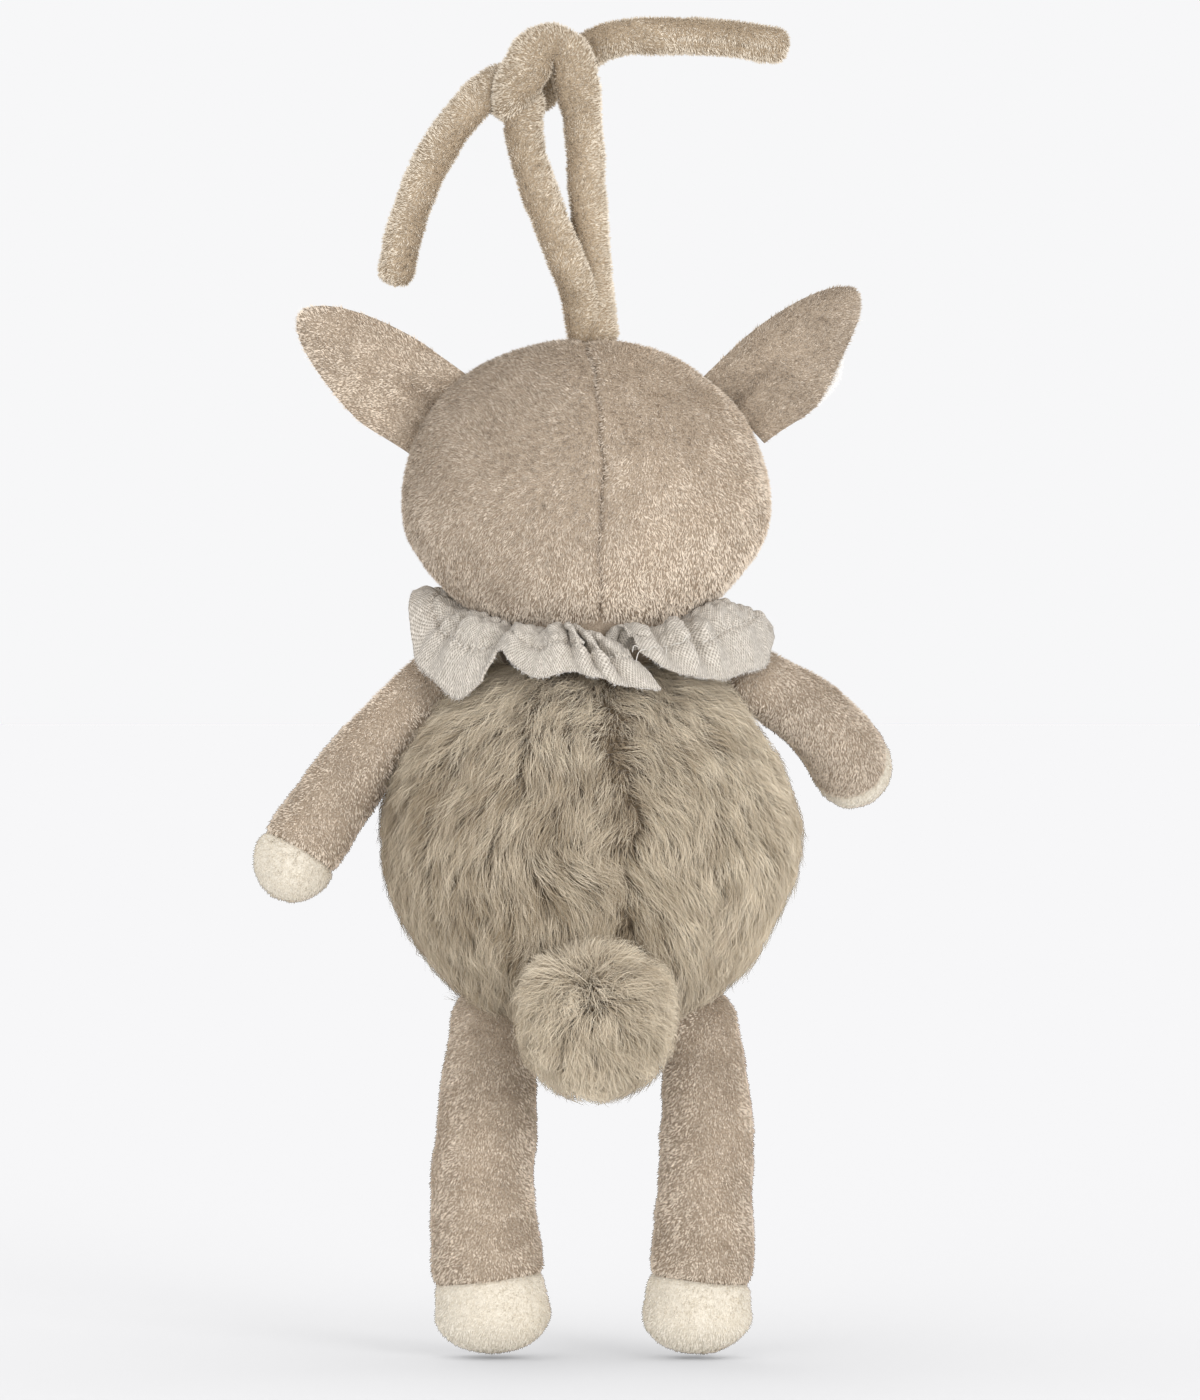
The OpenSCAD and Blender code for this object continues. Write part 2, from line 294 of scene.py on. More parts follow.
def mix_node(tree, a, b, mode="MULTIPLY", share=1.0):
    """Mixes two colours; share is a number or a socket."""
    made = node(tree, "ShaderNodeMix", data_type="RGBA", blend_type=mode)
    for value, place in ((share, 0), (a, 6), (b, 7)):
        link(tree, value, made.inputs[place])
    return made.outputs[2]


def noise_node(tree, vector, scale, detail=3.0, rough=0.5):
    """Noise over the object's own space; scale is in waves per metre."""
    made = node(tree, "ShaderNodeTexNoise")
    settings = {"Vector": vector, "Scale": scale, "Detail": detail, "Roughness": rough}
    for name, value in settings.items():
        link(tree, value, made.inputs[name])
    return made.outputs[0]


def finish_shader(tree, bsdf, colour, height=None, depth=0.0003, strength=0.6):
    """Gives the shader its colour, and a bump where there is a height."""
    tree.links.new(colour, bsdf.inputs["Base Color"])
    if height is None:
        return
    bump = node(tree, "ShaderNodeBump")
    settings = {"Strength": strength, "Distance": depth, "Height": height}
    for name, value in settings.items():
        link(tree, value, bump.inputs[name])
    tree.links.new(bump.outputs[0], bsdf.inputs["Normal"])


def shader(name, roughness, specular=0.2, sheen=0.0):
    """An empty Principled material: its tree, its shader and object coordinates."""
    material = bpy.data.materials.new(name)
    material.use_nodes = True
    tree = material.node_tree
    bsdf = tree.nodes["Principled BSDF"]
    bsdf.inputs["Roughness"].default_value = roughness
    bsdf.inputs["Specular IOR Level"].default_value = specular
    bsdf.inputs["Sheen Weight"].default_value = sheen
    bsdf.inputs["Sheen Roughness"].default_value = 0.5
    place = node(tree, "ShaderNodeTexCoord").outputs["Object"]
    return material, tree, bsdf, place


def linear(r, g, b):
    """A colour from 0 to 255 sRGB levels, as the shader wants it."""
    def one(level):
        level = level / 255
        return level / 12.92 if level <= 0.04045 else ((level + 0.055) / 1.055) ** 2.4
    return one(r), one(g), one(b)


WHITE = (1, 1, 1)
TAUPE = (linear(140, 124, 107), linear(184, 168, 149))
CREAM = (linear(214, 205, 188), linear(240, 232, 217))


def attribute(tree, name):
    return node(tree, "ShaderNodeAttribute", attribute_name=name).outputs["Fac"]


def pile_material(name, root, dark, light):
    """Pile blades: dark at the root, a painted shade deep in the pile, and each blade between two
    tones.
    """
    material, tree, bsdf, _ = shader(name, 0.8, 0.15, 0.25)
    tone = ramp_node(tree, attribute(tree, "tone"), [(0, dark), (1, light)])
    # Painted shade: each blade darkens towards its root, where the pile shades itself.
    shade = ramp_node(tree, attribute(tree, "tip"), [(0, root), (0.55, WHITE)])
    finish_shader(tree, bsdf, mix_node(tree, tone, shade))
    return material


def backing_material(name, dark, light):
    """Knitted ground of a plush, seen between the pile."""
    material, tree, bsdf, place = shader(name, 0.95, 0.05)
    grain = noise_node(tree, place, 2200, 2)
    colour = ramp_node(tree, grain, [(0.3, dark), (0.7, light)])
    soft = ramp_node(tree, noise_node(tree, place, 60), [(0.35, (0.86, 0.86, 0.86)), (0.65, WHITE)])
    finish_shader(tree, bsdf, mix_node(tree, colour, soft), grain)
    return material


def face_backing_material(name):
    """The velour's ground, cream where the attribute pale is 1."""
    material, tree, bsdf, place = shader(name, 0.95, 0.05)
    grain = noise_node(tree, place, 2200, 2)
    taupe, cream = (
        ramp_node(tree, grain, [(0.3, dark), (0.7, light)]) for dark, light in (TAUPE, CREAM)
    )
    colour = mix_node(tree, taupe, cream, "MIX", attribute(tree, "pale"))
    finish_shader(tree, bsdf, colour, grain)
    return material


def gauze_material():
    """Double gauze: a fine open plain weave with slubs, its threads a little astray."""
    material, tree, bsdf, place = shader("muslin_gauze", 0.9, 0.1, 0.15)
    weave_pitch, stray = 0.0009, 0.0011
    split = node(tree, "ShaderNodeSeparateXYZ")
    tree.links.new(node(tree, "ShaderNodeUVMap").outputs[0], split.inputs[0])
    wobble = noise_node(tree, place, 500, 2)
    pair = []
    for axis in (0, 1):
        strayed = math_node(tree, "MULTIPLY_ADD", wobble, stray, split.outputs[axis])
        turn = math_node(tree, "MULTIPLY", strayed, 2 * math.pi / weave_pitch)
        pair.append(math_node(tree, "SINE", turn))
    over = math_node(tree, "MULTIPLY", *pair)
    height = math_node(tree, "MULTIPLY_ADD", over, 0.5, 0.5)
    weave = ramp_node(tree, height, [(0.15, linear(168, 160, 149)), (0.7, linear(228, 220, 209))])
    slub = noise_node(tree, place, 900, 3, 0.6)
    tint = ramp_node(tree, slub, [(0.33, (0.74, 0.73, 0.71)), (0.64, WHITE)])
    finish_shader(tree, bsdf, mix_node(tree, weave, tint), height, strength=0.8)
    return material


def thread_material(name, dark, light, roughness=0.6, sheen=0.3):
    """Sewing or embroidery thread with fine plies."""
    material, tree, bsdf, place = shader(name, roughness, 0.35, sheen)
    plies = noise_node(tree, place, 3500, 2, 0.6)
    colour = ramp_node(tree, plies, [(0.35, dark), (0.65, light)])
    finish_shader(tree, bsdf, colour, plies, depth=0.0001)
    return material


# The first colour of each pile is the painted shade at its blade roots.
taupe_pile = pile_material(
    "velour_pile", (0.58, 0.56, 0.54), linear(160, 144, 126), linear(250, 236, 218))
tie_pile = pile_material(
    "tie_velour_pile", (0.56, 0.54, 0.51), linear(177, 160, 137), linear(251, 240, 222))
cream_pile = pile_material(
    "cream_velour_pile", (0.78, 0.76, 0.72), linear(226, 218, 204), linear(252, 246, 234))
fur_pile = pile_material(
    "long_pile_hair", (0.46, 0.43, 0.39), linear(158, 140, 114), linear(240, 227, 204))
lining_pile = pile_material(
    "ear_lining_pile", (0.80, 0.78, 0.76), linear(232, 227, 220), linear(253, 251, 248))
taupe_back = backing_material("velour_ground", *TAUPE)
tie_back = backing_material("tie_velour_ground", linear(146, 128, 106), linear(190, 172, 148))
cream_back = backing_material("cream_velour_ground", *CREAM)
fur_back = backing_material("long_pile_ground", linear(104, 90, 73), linear(142, 126, 105))
head_back = face_backing_material("head_ground")
gauze = gauze_material()
white_thread = thread_material("muslin_thread", linear(196, 190, 181), linear(232, 228, 220))
brown_thread = thread_material(
    "embroidery_thread", linear(58, 42, 33), linear(104, 80, 64), 0.5, 0.4)


# ---- camera

def make_camera():
    """A long lens behind the toy, level, framing 336 by 392 mm at the toy."""
    tall, away = 0.392, 2.4
    data = bpy.data.cameras.new("Camera")
    data.lens = data.sensor_width * away / tall
    data.clip_end = 120
    camera = add_object("Camera", data)
    camera.location = (-0.0106, away, -0.1582)
    camera.rotation_euler = (math.radians(90), 0, math.radians(180))
    bpy.context.scene.camera = camera


def make_light(name, place, size, power):
    """A round soft light that looks at the toy's middle."""
    data = bpy.data.lights.new(name, "AREA")
    data.shape = "DISK"
    data.size = size
    data.energy = power
    light = add_object(name, data)
    light.location = place
    aim = Vector((0, 0, -0.17)) - Vector(place)
    light.rotation_euler = aim.to_track_quat("-Z", "Y").to_euler()


def make_stage():
    """Pale floor that only takes soft shadows, and an even pale surround."""
    world = bpy.data.worlds.new("World")
    bpy.context.scene.world = world
    world.use_nodes = True
    backdrop = world.node_tree.nodes["Background"]
    backdrop.inputs[0].default_value = (*linear(247, 247, 248), 1)
    backdrop.inputs[1].default_value = 1.0
    half, low = 60.0, sole_z - 0.0002
    mesh = bpy.data.meshes.new("floor")
    corners = [(-half, -half, low), (half, -half, low), (half, half, low), (-half, half, low)]
    mesh.from_pydata(corners, [], [(0, 1, 2, 3)])
    floor = add_object("floor", mesh)
    paint, tree, bsdf, place = shader("floor_paint", 0.9, 0.1)
    stops = [(0.3, (0.90, 0.90, 0.90)), (0.7, (0.92, 0.92, 0.92))]
    finish_shader(tree, bsdf, ramp_node(tree, noise_node(tree, place, 3), stops))
    mesh.materials.append(paint)
    floor.is_shadow_catcher = True
    bpy.context.scene.view_settings.view_transform = "Standard"
    make_light("Key", (-1.1, 2.1, 0.15), 1.0, 22)
    make_light("Fill", (1.0, 2.2, -0.12), 1.4, 14)
    make_light("Far side", (0.5, -2.2, 0.1), 1.6, 9)


# ---- pile laws

BLADE = 0.34  # width of a blade of velour pile


def streaks(points, seed, grain):
    """Fine random marks, drawn out along the pile's lie and bent a little."""
    bend = np.stack([waves(points, 21, seed + k) for k in range(3)], -1)
    return waves((points + 2.0 * bend) * grain, 1.0, seed + 3, 30)


def velour(name, body, slot, patch, material, comb, tone, seed, per_mm2=4.2, length=1.25,
           grain=(1.0, 1.0, 0.36), streak_shade_and_highlight=0.34, where=None):
    """Short dense pile over a patch. comb gives the way it lies, tone its lightness."""
    rng = np.random.default_rng(seed + 1)
    root, normal, down, across = patch.scatter(per_mm2, seed, where)
    direction = in_surface(comb(root, normal, down, across), normal)
    count = len(root)
    twist = 0.55 * waves(root, 17, seed + 2) + 0.4 * waves(root, 3.5, seed + 3)
    direction = turned(direction, normal, twist + rng.normal(0, 0.2, count))
    marks = streaks(root, seed + 6, grain)
    lean = 0.86 + 0.2 * waves(root, 9, seed + 4) + 0.34 * marks + rng.normal(0, 0.1, count)
    lean = np.clip(lean, 0.1, 1.35)[:, None]
    reach = (length * rng.uniform(0.75, 1.15, count))[:, None]
    tips = root + (normal * np.cos(lean) + direction * np.sin(lean)) * reach
    facing = turned(in_surface(normal, direction), direction, rng.normal(0, 0.5, count))
    # The streak marks paint shade into the grooves between tufts and highlights on them, over the
    # pile's own tone.
    level = tone(root, normal) + 0.09 * waves(root, 14, seed + 5) + streak_shade_and_highlight * marks
    level += rng.normal(0, 0.07, count)
    curves = np.stack([root - normal * 0.15, tips], 1)
    widths = BLADE * rng.uniform(0.75, 1.25, count)
    made = strands(name, curves, facing, widths, np.clip(level, 0, 1), material)
    return wear(made, body, slot)


def combed_down(root, normal, down, across):
    return np.tile([0.0, 0.0, -1.0], (len(root), 1)) + 0.25 * across


def even_tone(level):
    return lambda root, normal: np.full(len(root), level)


# ---- plush


def wear(obj, body, slot, *nodes):
    """Rides on a body and stands for its CAD nodes, which it hides; slot is not used.
    What is worn at the neck is baked where it stands, on no body."""
    if body == "neck":
        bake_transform(obj)
    else:
        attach(obj, body)
    if nodes:
        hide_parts(*nodes)
    return obj


def stuff(cloth, fill, body, slot, *nodes):
    """Wears a stuffed cover; fill is not used."""
    wear(cloth, body, slot, *nodes)


def toward_edges(count, pull=0.75):
    """Places from 0 to 1 that crowd at both ends, where the seams are."""
    t = np.linspace(0, 1, count)
    return t - pull * np.sin(2 * np.pi * t) / (2 * np.pi)


HEAD_MID = vec(0.0, 0.0, 240.0)
HEAD_HALF = vec(52.0, 43.0, 45.5)
HEAD_ASIDE = 1.1  # the head stands this far to the left of the middle
NECK_Z = 206.0
NECK_R = 28.0
BODY_MID = vec(0.0, 0.0, 147.0)
BODY_HALF = vec(55.5, 48.5, 54.5)
BODY_INSET = 2.6  # room for the long pile inside the body's outline
PILE_DEPTH = 0.7  # how far the cloth lies under the tips of its pile


def globe(mid, half, azimuth, polar):
    """A point of an ellipsoid: azimuth from the centre back to the toy's left."""
    ring = np.sin(polar)
    way = np.stack([np.sin(azimuth) * ring, np.cos(azimuth) * ring, np.cos(polar)], -1)
    return mid + way * half, way


def head_points(azimuth, polar, edge):
    """The stuffed head; edge is the distance in mm to the nearest panel seam."""
    points, way = globe(HEAD_MID, HEAD_HALF - PILE_DEPTH, azimuth, polar)
    out = unit(way / HEAD_HALF)
    low = np.clip(-way[..., 2], 0, 1)
    lobes = 0.5 * waves(points, 42, 11) + 0.22 * waves(points, 15, 12)
    sewn = -1.3 * bell(edge, 0.75) - 0.45 * bell(edge, 4.5)
    puckers = 0.26 * bell(edge, 5.0) * waves(points, 5.5, 13)
    points = points + out * (lobes + sewn + puckers)[..., None]
    points[..., 0] *= 1 - 0.13 * ramp(low, 0.12, 0.90)
    points[..., 0] += HEAD_ASIDE
    top = np.hypot(points[..., 0] + 0.5, points[..., 1])
    gather = 0.5 * bell(top, 11) * np.cos(9 * np.arctan2(points[..., 1], points[..., 0]))
    points[..., 2] += np.where(points[..., 2] > HEAD_MID[2], gather - 0.3 * bell(top, 7), 0)
    return points


def head_patch(start, end, cols):
    """A head panel between two azimuths, in degrees, from the top to the neck."""
    top, neck, rows = 1.0, 149, 110
    across = np.radians(start + (end - start) * toward_edges(cols))
    down = np.radians(top + (neck - top) * np.linspace(0, 1, rows))
    azimuth, polar = np.meshgrid(across, down)
    edge = np.minimum(azimuth - across[0], across[-1] - azimuth) * (np.sin(polar) * 47)
    drift = -4.6 * ramp(polar, 0.15, 1.15) / (50 * np.sin(polar) + 4)
    wander = 0.010 * np.sin(polar * 7 + 1) + 0.006 * np.sin(polar * 17)
    shifted = azimuth + (drift + wander) * bell(azimuth, 0.9)
    return Patch(head_points(shifted, polar, edge))


def head_comb(root, normal, down, across):
    """Brushed down the back, and swept up and aside over the upper left."""
    up_left = bell(np.hypot(root[:, 0] - 26, root[:, 2] - 262), 24)[:, None]
    base = vec(0.15, 0.0, -1.0)
    aside = vec(0.9, 0.0, 0.6)
    return base * (1 - up_left) + aside * up_left


# Painted shade and sheen on the head, patches where the pile lies differently: x, z, how flat, how
# dark, size
HEAD_SHADE_AND_SHEEN = [
    (27, 264, 1.0, 0.22, 22), (24, 217, 1.5, 0.36, 9), (-6, 232, 0.7, 0.28, 8),
    (-26, 264, 1.0, 0.24, 12), (-34, 236, 1.0, -0.12, 18),
]


def head_tone_and_light(root, normal):
    """The head's pile is painted lighter on the right and low down, where the lamps light it more,
    with patches of painted shade and sheen.
    """
    x, z = root[:, 0], root[:, 2]
    # Painted light on the right and low down; the patches below are painted shade and sheen.
    level = 0.64 - 0.22 * np.tanh((x + 2) / 9) + 0.26 * ramp(-z, -246, -212)
    for mark_x, mark_z, across, down, size in HEAD_SHADE_AND_SHEEN:
        level -= down * bell(np.hypot(x - mark_x, (z - mark_z) * across), size)
    return level


def cheek(points):
    """1 where the face's lower panel is cream: the cheeks and the chin."""
    side = np.abs(points[..., 0] - HEAD_ASIDE)
    edge = 214 + 26 * ramp(side, 16, 50) + 1.2 * np.sin(side * 0.9)
    return ramp(edge - points[..., 2], -0.5, 0.5)


def not_cheek(points):
    return 1 - cheek(points)


def make_head():
    """Three sewn panels: two at the back and one for the face, part of it cream."""
    panels = {
        "head_back_left": (0, 99.4),
        "head_back_right": (-99.4, 0),
        "head_face": (99.4, 260.6),
    }
    for seed, (name, (start, end)) in enumerate(panels.items()):
        face = name == "head_face"
        patch = head_patch(start, end, 96 if face else 64)
        pale = cheek(patch.points) if face else np.zeros(patch.points.shape[:2])
        skin = patch.mesh(name + "_cloth", head_back, thick=1.2, fields={"pale": pale})
        inner = ["head_filling"] if face else []
        stuff(skin, 0.9, "head", "velour", name, *inner)
        velour(name + "_pile", "head", "velour", patch, taupe_pile, head_comb, head_tone_and_light,
               100 + 10 * seed, streak_shade_and_highlight=0.27, where=not_cheek if face else None)
    velour("head_cheek_pile", "head", "cream_velour", patch, cream_pile, head_comb,
           even_tone(0.5), 140, length=1.1, where=cheek)


# ---- face

MUZZLE_MID = vec(HEAD_ASIDE, -37.0, 228.0)
MUZZLE_HALF = vec(19.0, 13.0, 14.5)


def front_of(mid, half, out, from_z=0.0, aside=0.0):
    """The front of an ellipsoid. The function it gives turns places (x, z), seen from
    the front, into points out mm clear of the cloth, and the ways they face."""
    def surface(x, z):
        flat = np.stack([x, np.zeros_like(x), z - from_z], -1) / half
        deep = np.sqrt(np.clip(1 - flat[..., 0] ** 2 - flat[..., 2] ** 2, 0.02, 1))
        way = flat + deep[..., None] * vec(0, -1.0, 0)
        normal = unit(way / half)
        return mid + way * (half - PILE_DEPTH) + vec(aside, 0, 0) + normal * out, normal
    return surface


def threads(name, runs, radius, material, sides=7):
    """Stitches as one mesh: each run is the points that one thread follows."""
    points, faces, base = [], [], 0
    for run in runs:
        radii = np.full(len(run), radius)
        radii[[0, -1]] *= 0.15
        points.append(sweep(run, radii, sides, first_side=(0.3, 0.9, 0.2)).reshape(-1, 3))
        faces.append(grid_faces(len(run), sides, True) + base)
        base += len(points[-1])
    return make_mesh(name, np.concatenate(points), [np.concatenate(faces)], material)


def satin(surface, starts, ends, lift):
    """Threads laid side by side over a surface, from each start to its end."""
    t = np.linspace(0, 1, 9)[:, None]
    runs = []
    for a, b in zip(starts, ends):
        flat = vec(*a) * (1 - t) + vec(*b) * t
        place, normal = surface(flat[:, 0], flat[:, 1])
        runs.append(place + normal * (lift * np.sin(np.pi * t) ** 0.5 - 0.1))
    return runs


def backstitch(surface, line, stitch, lift):
    """A row of short threads, end to end, along a line of places on a surface."""
    whole = distances(line)[-1]
    count = max(int(whole / stitch), 1)
    at = at_distances(line, np.linspace(0, whole, count + 1))
    return satin(surface, at[:-1], at[1:], lift)


def make_muzzle():
    """A pale stuffed ball with a seam down to the chin."""
    azimuth, polar = dome(72, 44, 1, 100)
    way = np.stack(
        [np.cos(azimuth) * np.sin(polar), -np.cos(polar), np.sin(azimuth) * np.sin(polar)], -1
    )
    points = MUZZLE_MID + way * (MUZZLE_HALF - PILE_DEPTH)
    seam = bell(points[..., 0] - MUZZLE_MID[0], 0.9) * ramp(-points[..., 2], -229, -226)
    swell = 0.25 * waves(points, 14, 61) - 0.8 * seam
    patch = Patch(points + unit(way / MUZZLE_HALF) * swell[..., None], closed=True, flip=True)
    cloth = patch.mesh("muzzle_cloth", cream_back, thick=1.0)
    stuff(cloth, 0.85, "head", "cream_velour", "muzzle")

    def comb(root, normal, down, across):
        return (root - MUZZLE_MID) * [1, 0, 1] + [0.01, 0, 4]

    velour("muzzle_pile", "head", "cream_velour", patch, cream_pile, comb, even_tone(0.55),
           160, length=1.0)


def make_nose():
    """Satin stitch, closed by one thread along its top, and a line down to the mouth."""
    x = np.linspace(-5.4, 5.4, 25)
    top = np.stack([x, 10.3 - 0.05 * x ** 2], -1)
    low = np.stack([x, 9.6 - 5.6 * np.cos(x / 5.6 * np.pi / 2) ** 0.8], -1)
    drop = np.stack([np.zeros(8), np.linspace(4.2, -1.5, 8)], -1)
    skin, edge, line = (front_of(MUZZLE_MID, MUZZLE_HALF, out) for out in (0.75, 1.05, 0.7))
    nose = satin(skin, top, low, 0.5) + satin(edge, [(-5.2, 9.6)], [(5.2, 9.6)], 0.4)
    nose += backstitch(line, drop, 2.2, 0.35)
    wear(threads("nose_stitches", nose, 0.34, brown_thread), "head", "thread", "nose")


def make_eyes():
    """Closed eyes: a lid of three rows of stitches, and three lashes."""
    skin = front_of(HEAD_MID, HEAD_HALF, 0.9, HEAD_MID[2], HEAD_ASIDE)
    radius, turn = 7, np.radians(np.linspace(200, 340, 40))
    for side, sign in (("left", 1), ("right", -1)):
        mid = vec(sign * 22, 240)
        lid = mid + radius * np.stack([np.cos(turn), np.sin(turn)], -1)
        eye = []
        for row in (-0.45, 0.0, 0.45):
            eye += backstitch(skin, lid + [0, row], 2.3, 0.45)
        for angle in np.radians((225, 262, 300)):
            ray = vec(math.cos(angle), math.sin(angle))
            root = mid + radius * ray
            eye += satin(skin, [root], [root + 3.4 * (ray + [0.35 * sign, 0])], 0.4)
        piece = threads(f"eye_{side}_stitches", eye, 0.32, brown_thread)
        wear(piece, "head", "thread", f"eye_{side}")


# ---- torso

# x, z, side, and how far the hinge is turned about the vertical, in degrees
SHOULDERS = {"left": (43.8, 188.5, 1, 0.0), "right": (-45.0, 188.5, -1, 12.0)}
ARM_LEAN = math.radians(36.4)
ARM_TOP_R = 9.6
# x, and the radius of the thigh's round top
HIPS = {"left": (29.5, 12.6), "right": (-31.2, 11.8)}
HIP_Z = 92.0


def keep_clear(points):
    """Presses the torso's cloth in where the arms and the legs swing."""
    for x, z, side, yaw in SHOULDERS.values():
        turn = math.radians(yaw)
        axis = vec(math.cos(turn), math.sin(turn), 0.0) * side
        apart = points - vec(x, 0.0, z)
        far = apart @ axis
        radius = np.linalg.norm(apart - far[..., None] * axis, axis=-1)
        limit = radius * math.tan(ARM_LEAN) - (ARM_TOP_R + 1.2) / math.cos(ARM_LEAN)
        points = points - np.clip(far - limit, 0, None)[..., None] * axis
    for x, radius in HIPS.values():
        apart = points - vec(x, 0.0, HIP_Z)
        apart[..., 1] = np.maximum(apart[..., 1], 0)
        distance = np.linalg.norm(apart, axis=-1, keepdims=True)
        push = np.clip(radius + 0.6 - distance, 0, None)
        points = points + apart / np.maximum(distance, 1e-6) * push
    return points


def torso_patch(start, end):
    """A torso panel between two azimuths, in degrees, from the collar to the seat."""
    top, seat, rows, cols = 28.5, 179, 90, 60
    across = np.radians(start + (end - start) * toward_edges(cols, 0.5))
    down = np.radians(top + (seat - top) * np.linspace(0, 1, rows))
    azimuth, polar = np.meshgrid(across, down)
    edge = np.minimum(azimuth - across[0], across[-1] - azimuth) * np.sin(polar) * 50
    points, way = globe(BODY_MID, BODY_HALF - BODY_INSET, azimuth, polar)
    swell = 0.8 * waves(points, 40, 31) - 1.2 * bell(edge, 1.6)
    return Patch(keep_clear(points + unit(way / BODY_HALF) * swell[..., None]))


PARTING_TOP = (-5.5, 187.0)
PARTING_LOW = (-11.0, 113.0)
# Bare places by the parting: x, z, half their height
PARTING_GAPS = [(-6.5, 171.0, 6), (-10.7, 156.0, 5), (-12.2, 149.0, 4), (-9.9, 125.0, 6),
                (-12.2, 113.5, 5), (9.0, 143.0, 3), (19.0, 118.0, 4), (12.5, 147.0, 3)]


def parting_x(z):
    """Where the hair parts on the back, at each height."""
    share = (PARTING_TOP[1] - z) / (PARTING_TOP[1] - PARTING_LOW[1])
    return PARTING_TOP[0] + (PARTING_LOW[0] - PARTING_TOP[0]) * share


def behind(root):
    """0 at the sides and the front, 1 at the back."""
    return ramp(root[:, 1], 5, 25)


def gaps(root):
    """1 where the locks stand apart and the ground shows, in the back's middle."""
    near = [bell((root[:, 0] - x) / 1.8, 1) * bell((root[:, 2] - z) / half, 1)
            for x, z, half in PARTING_GAPS]
    return np.clip(np.sum(near, 0), 0, 1) * behind(root)


def torso_comb(root, normal):
    """Hair runs down and outwards from the collar, with a parting, a swirl and a tuft."""
    x, _, z = root.T
    crown = vec(0.0, 20.0, 200.0)
    flow = unit(root - crown) * 0.9
    flow[:, 2] -= 0.75
    gap = x - parting_x(z)
    flow[:, 0] += 1.5 * np.tanh(gap / 2.2) * bell(gap, 8) * behind(root) * ramp(z, 110, 125)
    swirl = (bell(np.hypot((x - 3) / 1.5, z - 139), 8.5) * behind(root))[:, None]
    curl = np.stack([-np.ones_like(x), np.zeros_like(x), -0.25 - 0.085 * (x - 3)], -1)
    flow = flow * (1 - swirl) + curl * swirl
    tuft = (bell(np.hypot(x - 18, z - 126), 9) * behind(root))[:, None]
    flow = flow * (1 - 0.8 * tuft) + vec(0.5, 0.0, -0.9) * tuft
    return in_surface(flow, normal)


def torso_room(root):
    """Share of its length that a hair keeps: short by the limbs and in the parting."""
    x, y, z = root.T
    share = np.ones(len(root))
    for shoulder_x, shoulder_z, side, _ in SHOULDERS.values():
        away = np.hypot(x - shoulder_x - side * 4, z - shoulder_z + 10)
        share -= 0.62 * bell(away, 17) * bell(y, 15)
    for hip_x, radius in HIPS.values():
        share -= 0.15 * bell(np.hypot(x - hip_x, y), radius) * ramp(-z, -112, -100)
    share -= 0.34 * bell(x - parting_x(z), 3.0) * behind(root) + 0.5 * gaps(root)
    share += 0.35 * bell(np.hypot(np.abs(x) - 33, z - 103), 8)
    return np.clip(share, 0.2, 1.4)


def fur_tone_light_and_shade(root):
    """The hair is darker on the toy's left and lighter at its right edge. Painted light lifts it
    just under the collar, against the collar's shadow, and painted shade darkens it in the parting
    and the gaps."""
    x, _, z = root.T
    level = 0.48 - 0.09 * np.tanh((x - 4) / 16)
    # The collar term is painted light, against the collar's shadow.
    level += 0.10 * ramp(-x, 24, 42) + 0.24 * bell(z - 184, 12)
    # Painted shade in the parting and in the gaps between locks.
    level -= 0.14 * bell(x - parting_x(z), 2.6) * behind(root) + 0.30 * gaps(root)
    return level


def hair(name, patch, comb, room, body, seed, per_mm2, length, rise, spacing=4.9, tight=0.38,
         spread=0.27, tone_at=fur_tone_light_and_shade, cut=None):
    """Long pile in locks. Hair leaves the ground at a slant and then lies along comb."""
    rng = np.random.default_rng(seed)

    def guide(root, normal, far, up):
        way = comb(root, normal)
        angle = 0.40 * waves(root, 24, 41) + 0.38 * waves(root, 9, 42)
        way = turned(way, normal, angle + rng.normal(0, spread, len(root)))
        run = vec(0.0, 0.16, 0.52, 1.0)
        lift = vec(0.0, 0.62, 1.0, 0.92)
        reach = far[:, None, None] * run[None, :, None] * way[:, None, :]
        height = up[:, None, None] * lift[None, :, None] * normal[:, None, :]
        return root[:, None, :] + reach + height, way

    centre, centre_n, _, _ = patch.scatter(1 / spacing ** 2, seed + 1)
    keep = room(centre)
    far = length * keep * rng.uniform(0.85, 1.15, len(centre))
    up = rise * (0.4 + 0.6 * keep) * (1 + 0.26 * waves(centre, 11, 43))
    up = up * rng.uniform(0.85, 1.18, len(centre))
    locks, _ = guide(centre, centre_n, far, up)
    lock_tone = rng.normal(0, 0.12, len(centre))
    tree = KDTree(len(centre))
    for i, place in enumerate(centre):
        tree.insert(place, i)
    tree.balance()

    root, normal, _, _ = patch.scatter(per_mm2, seed + 2, cut)
    mine = np.array([tree.find(place)[1] for place in root])
    keep = room(root)
    count = len(root)
    far = length * keep * rng.uniform(0.6, 1.12, count)
    up = rise * (0.4 + 0.6 * keep) * rng.uniform(0.6, 1.2, count)
    curves, way = guide(root, normal, far, up)
    pull = tight * vec(0.0, 0.35, 0.8, 1.0)[None, :, None]
    pull = pull * rng.uniform(0.3, 1.2, count)[:, None, None]
    curves = curves * (1 - pull) + locks[mine] * pull
    curves[:, 2:] += rng.normal(0, 1, (count, 2, 3)) * vec(0.32, 0.75)[None, :, None]
    facing = turned(normal, way, rng.normal(0, 0.7, count))
    tone = tone_at(root) + lock_tone[mine] + rng.normal(0, 0.20, count)
    tone += 0.10 * waves(root, 26, 44) + 0.07 * waves(root, 9, 45)
    width = rng.uniform(0.13, 0.29, count)
    made = strands(name, curves, facing, width, np.clip(tone, 0, 1), fur_pile, 0.85)
    wear(made, body, "long_pile")


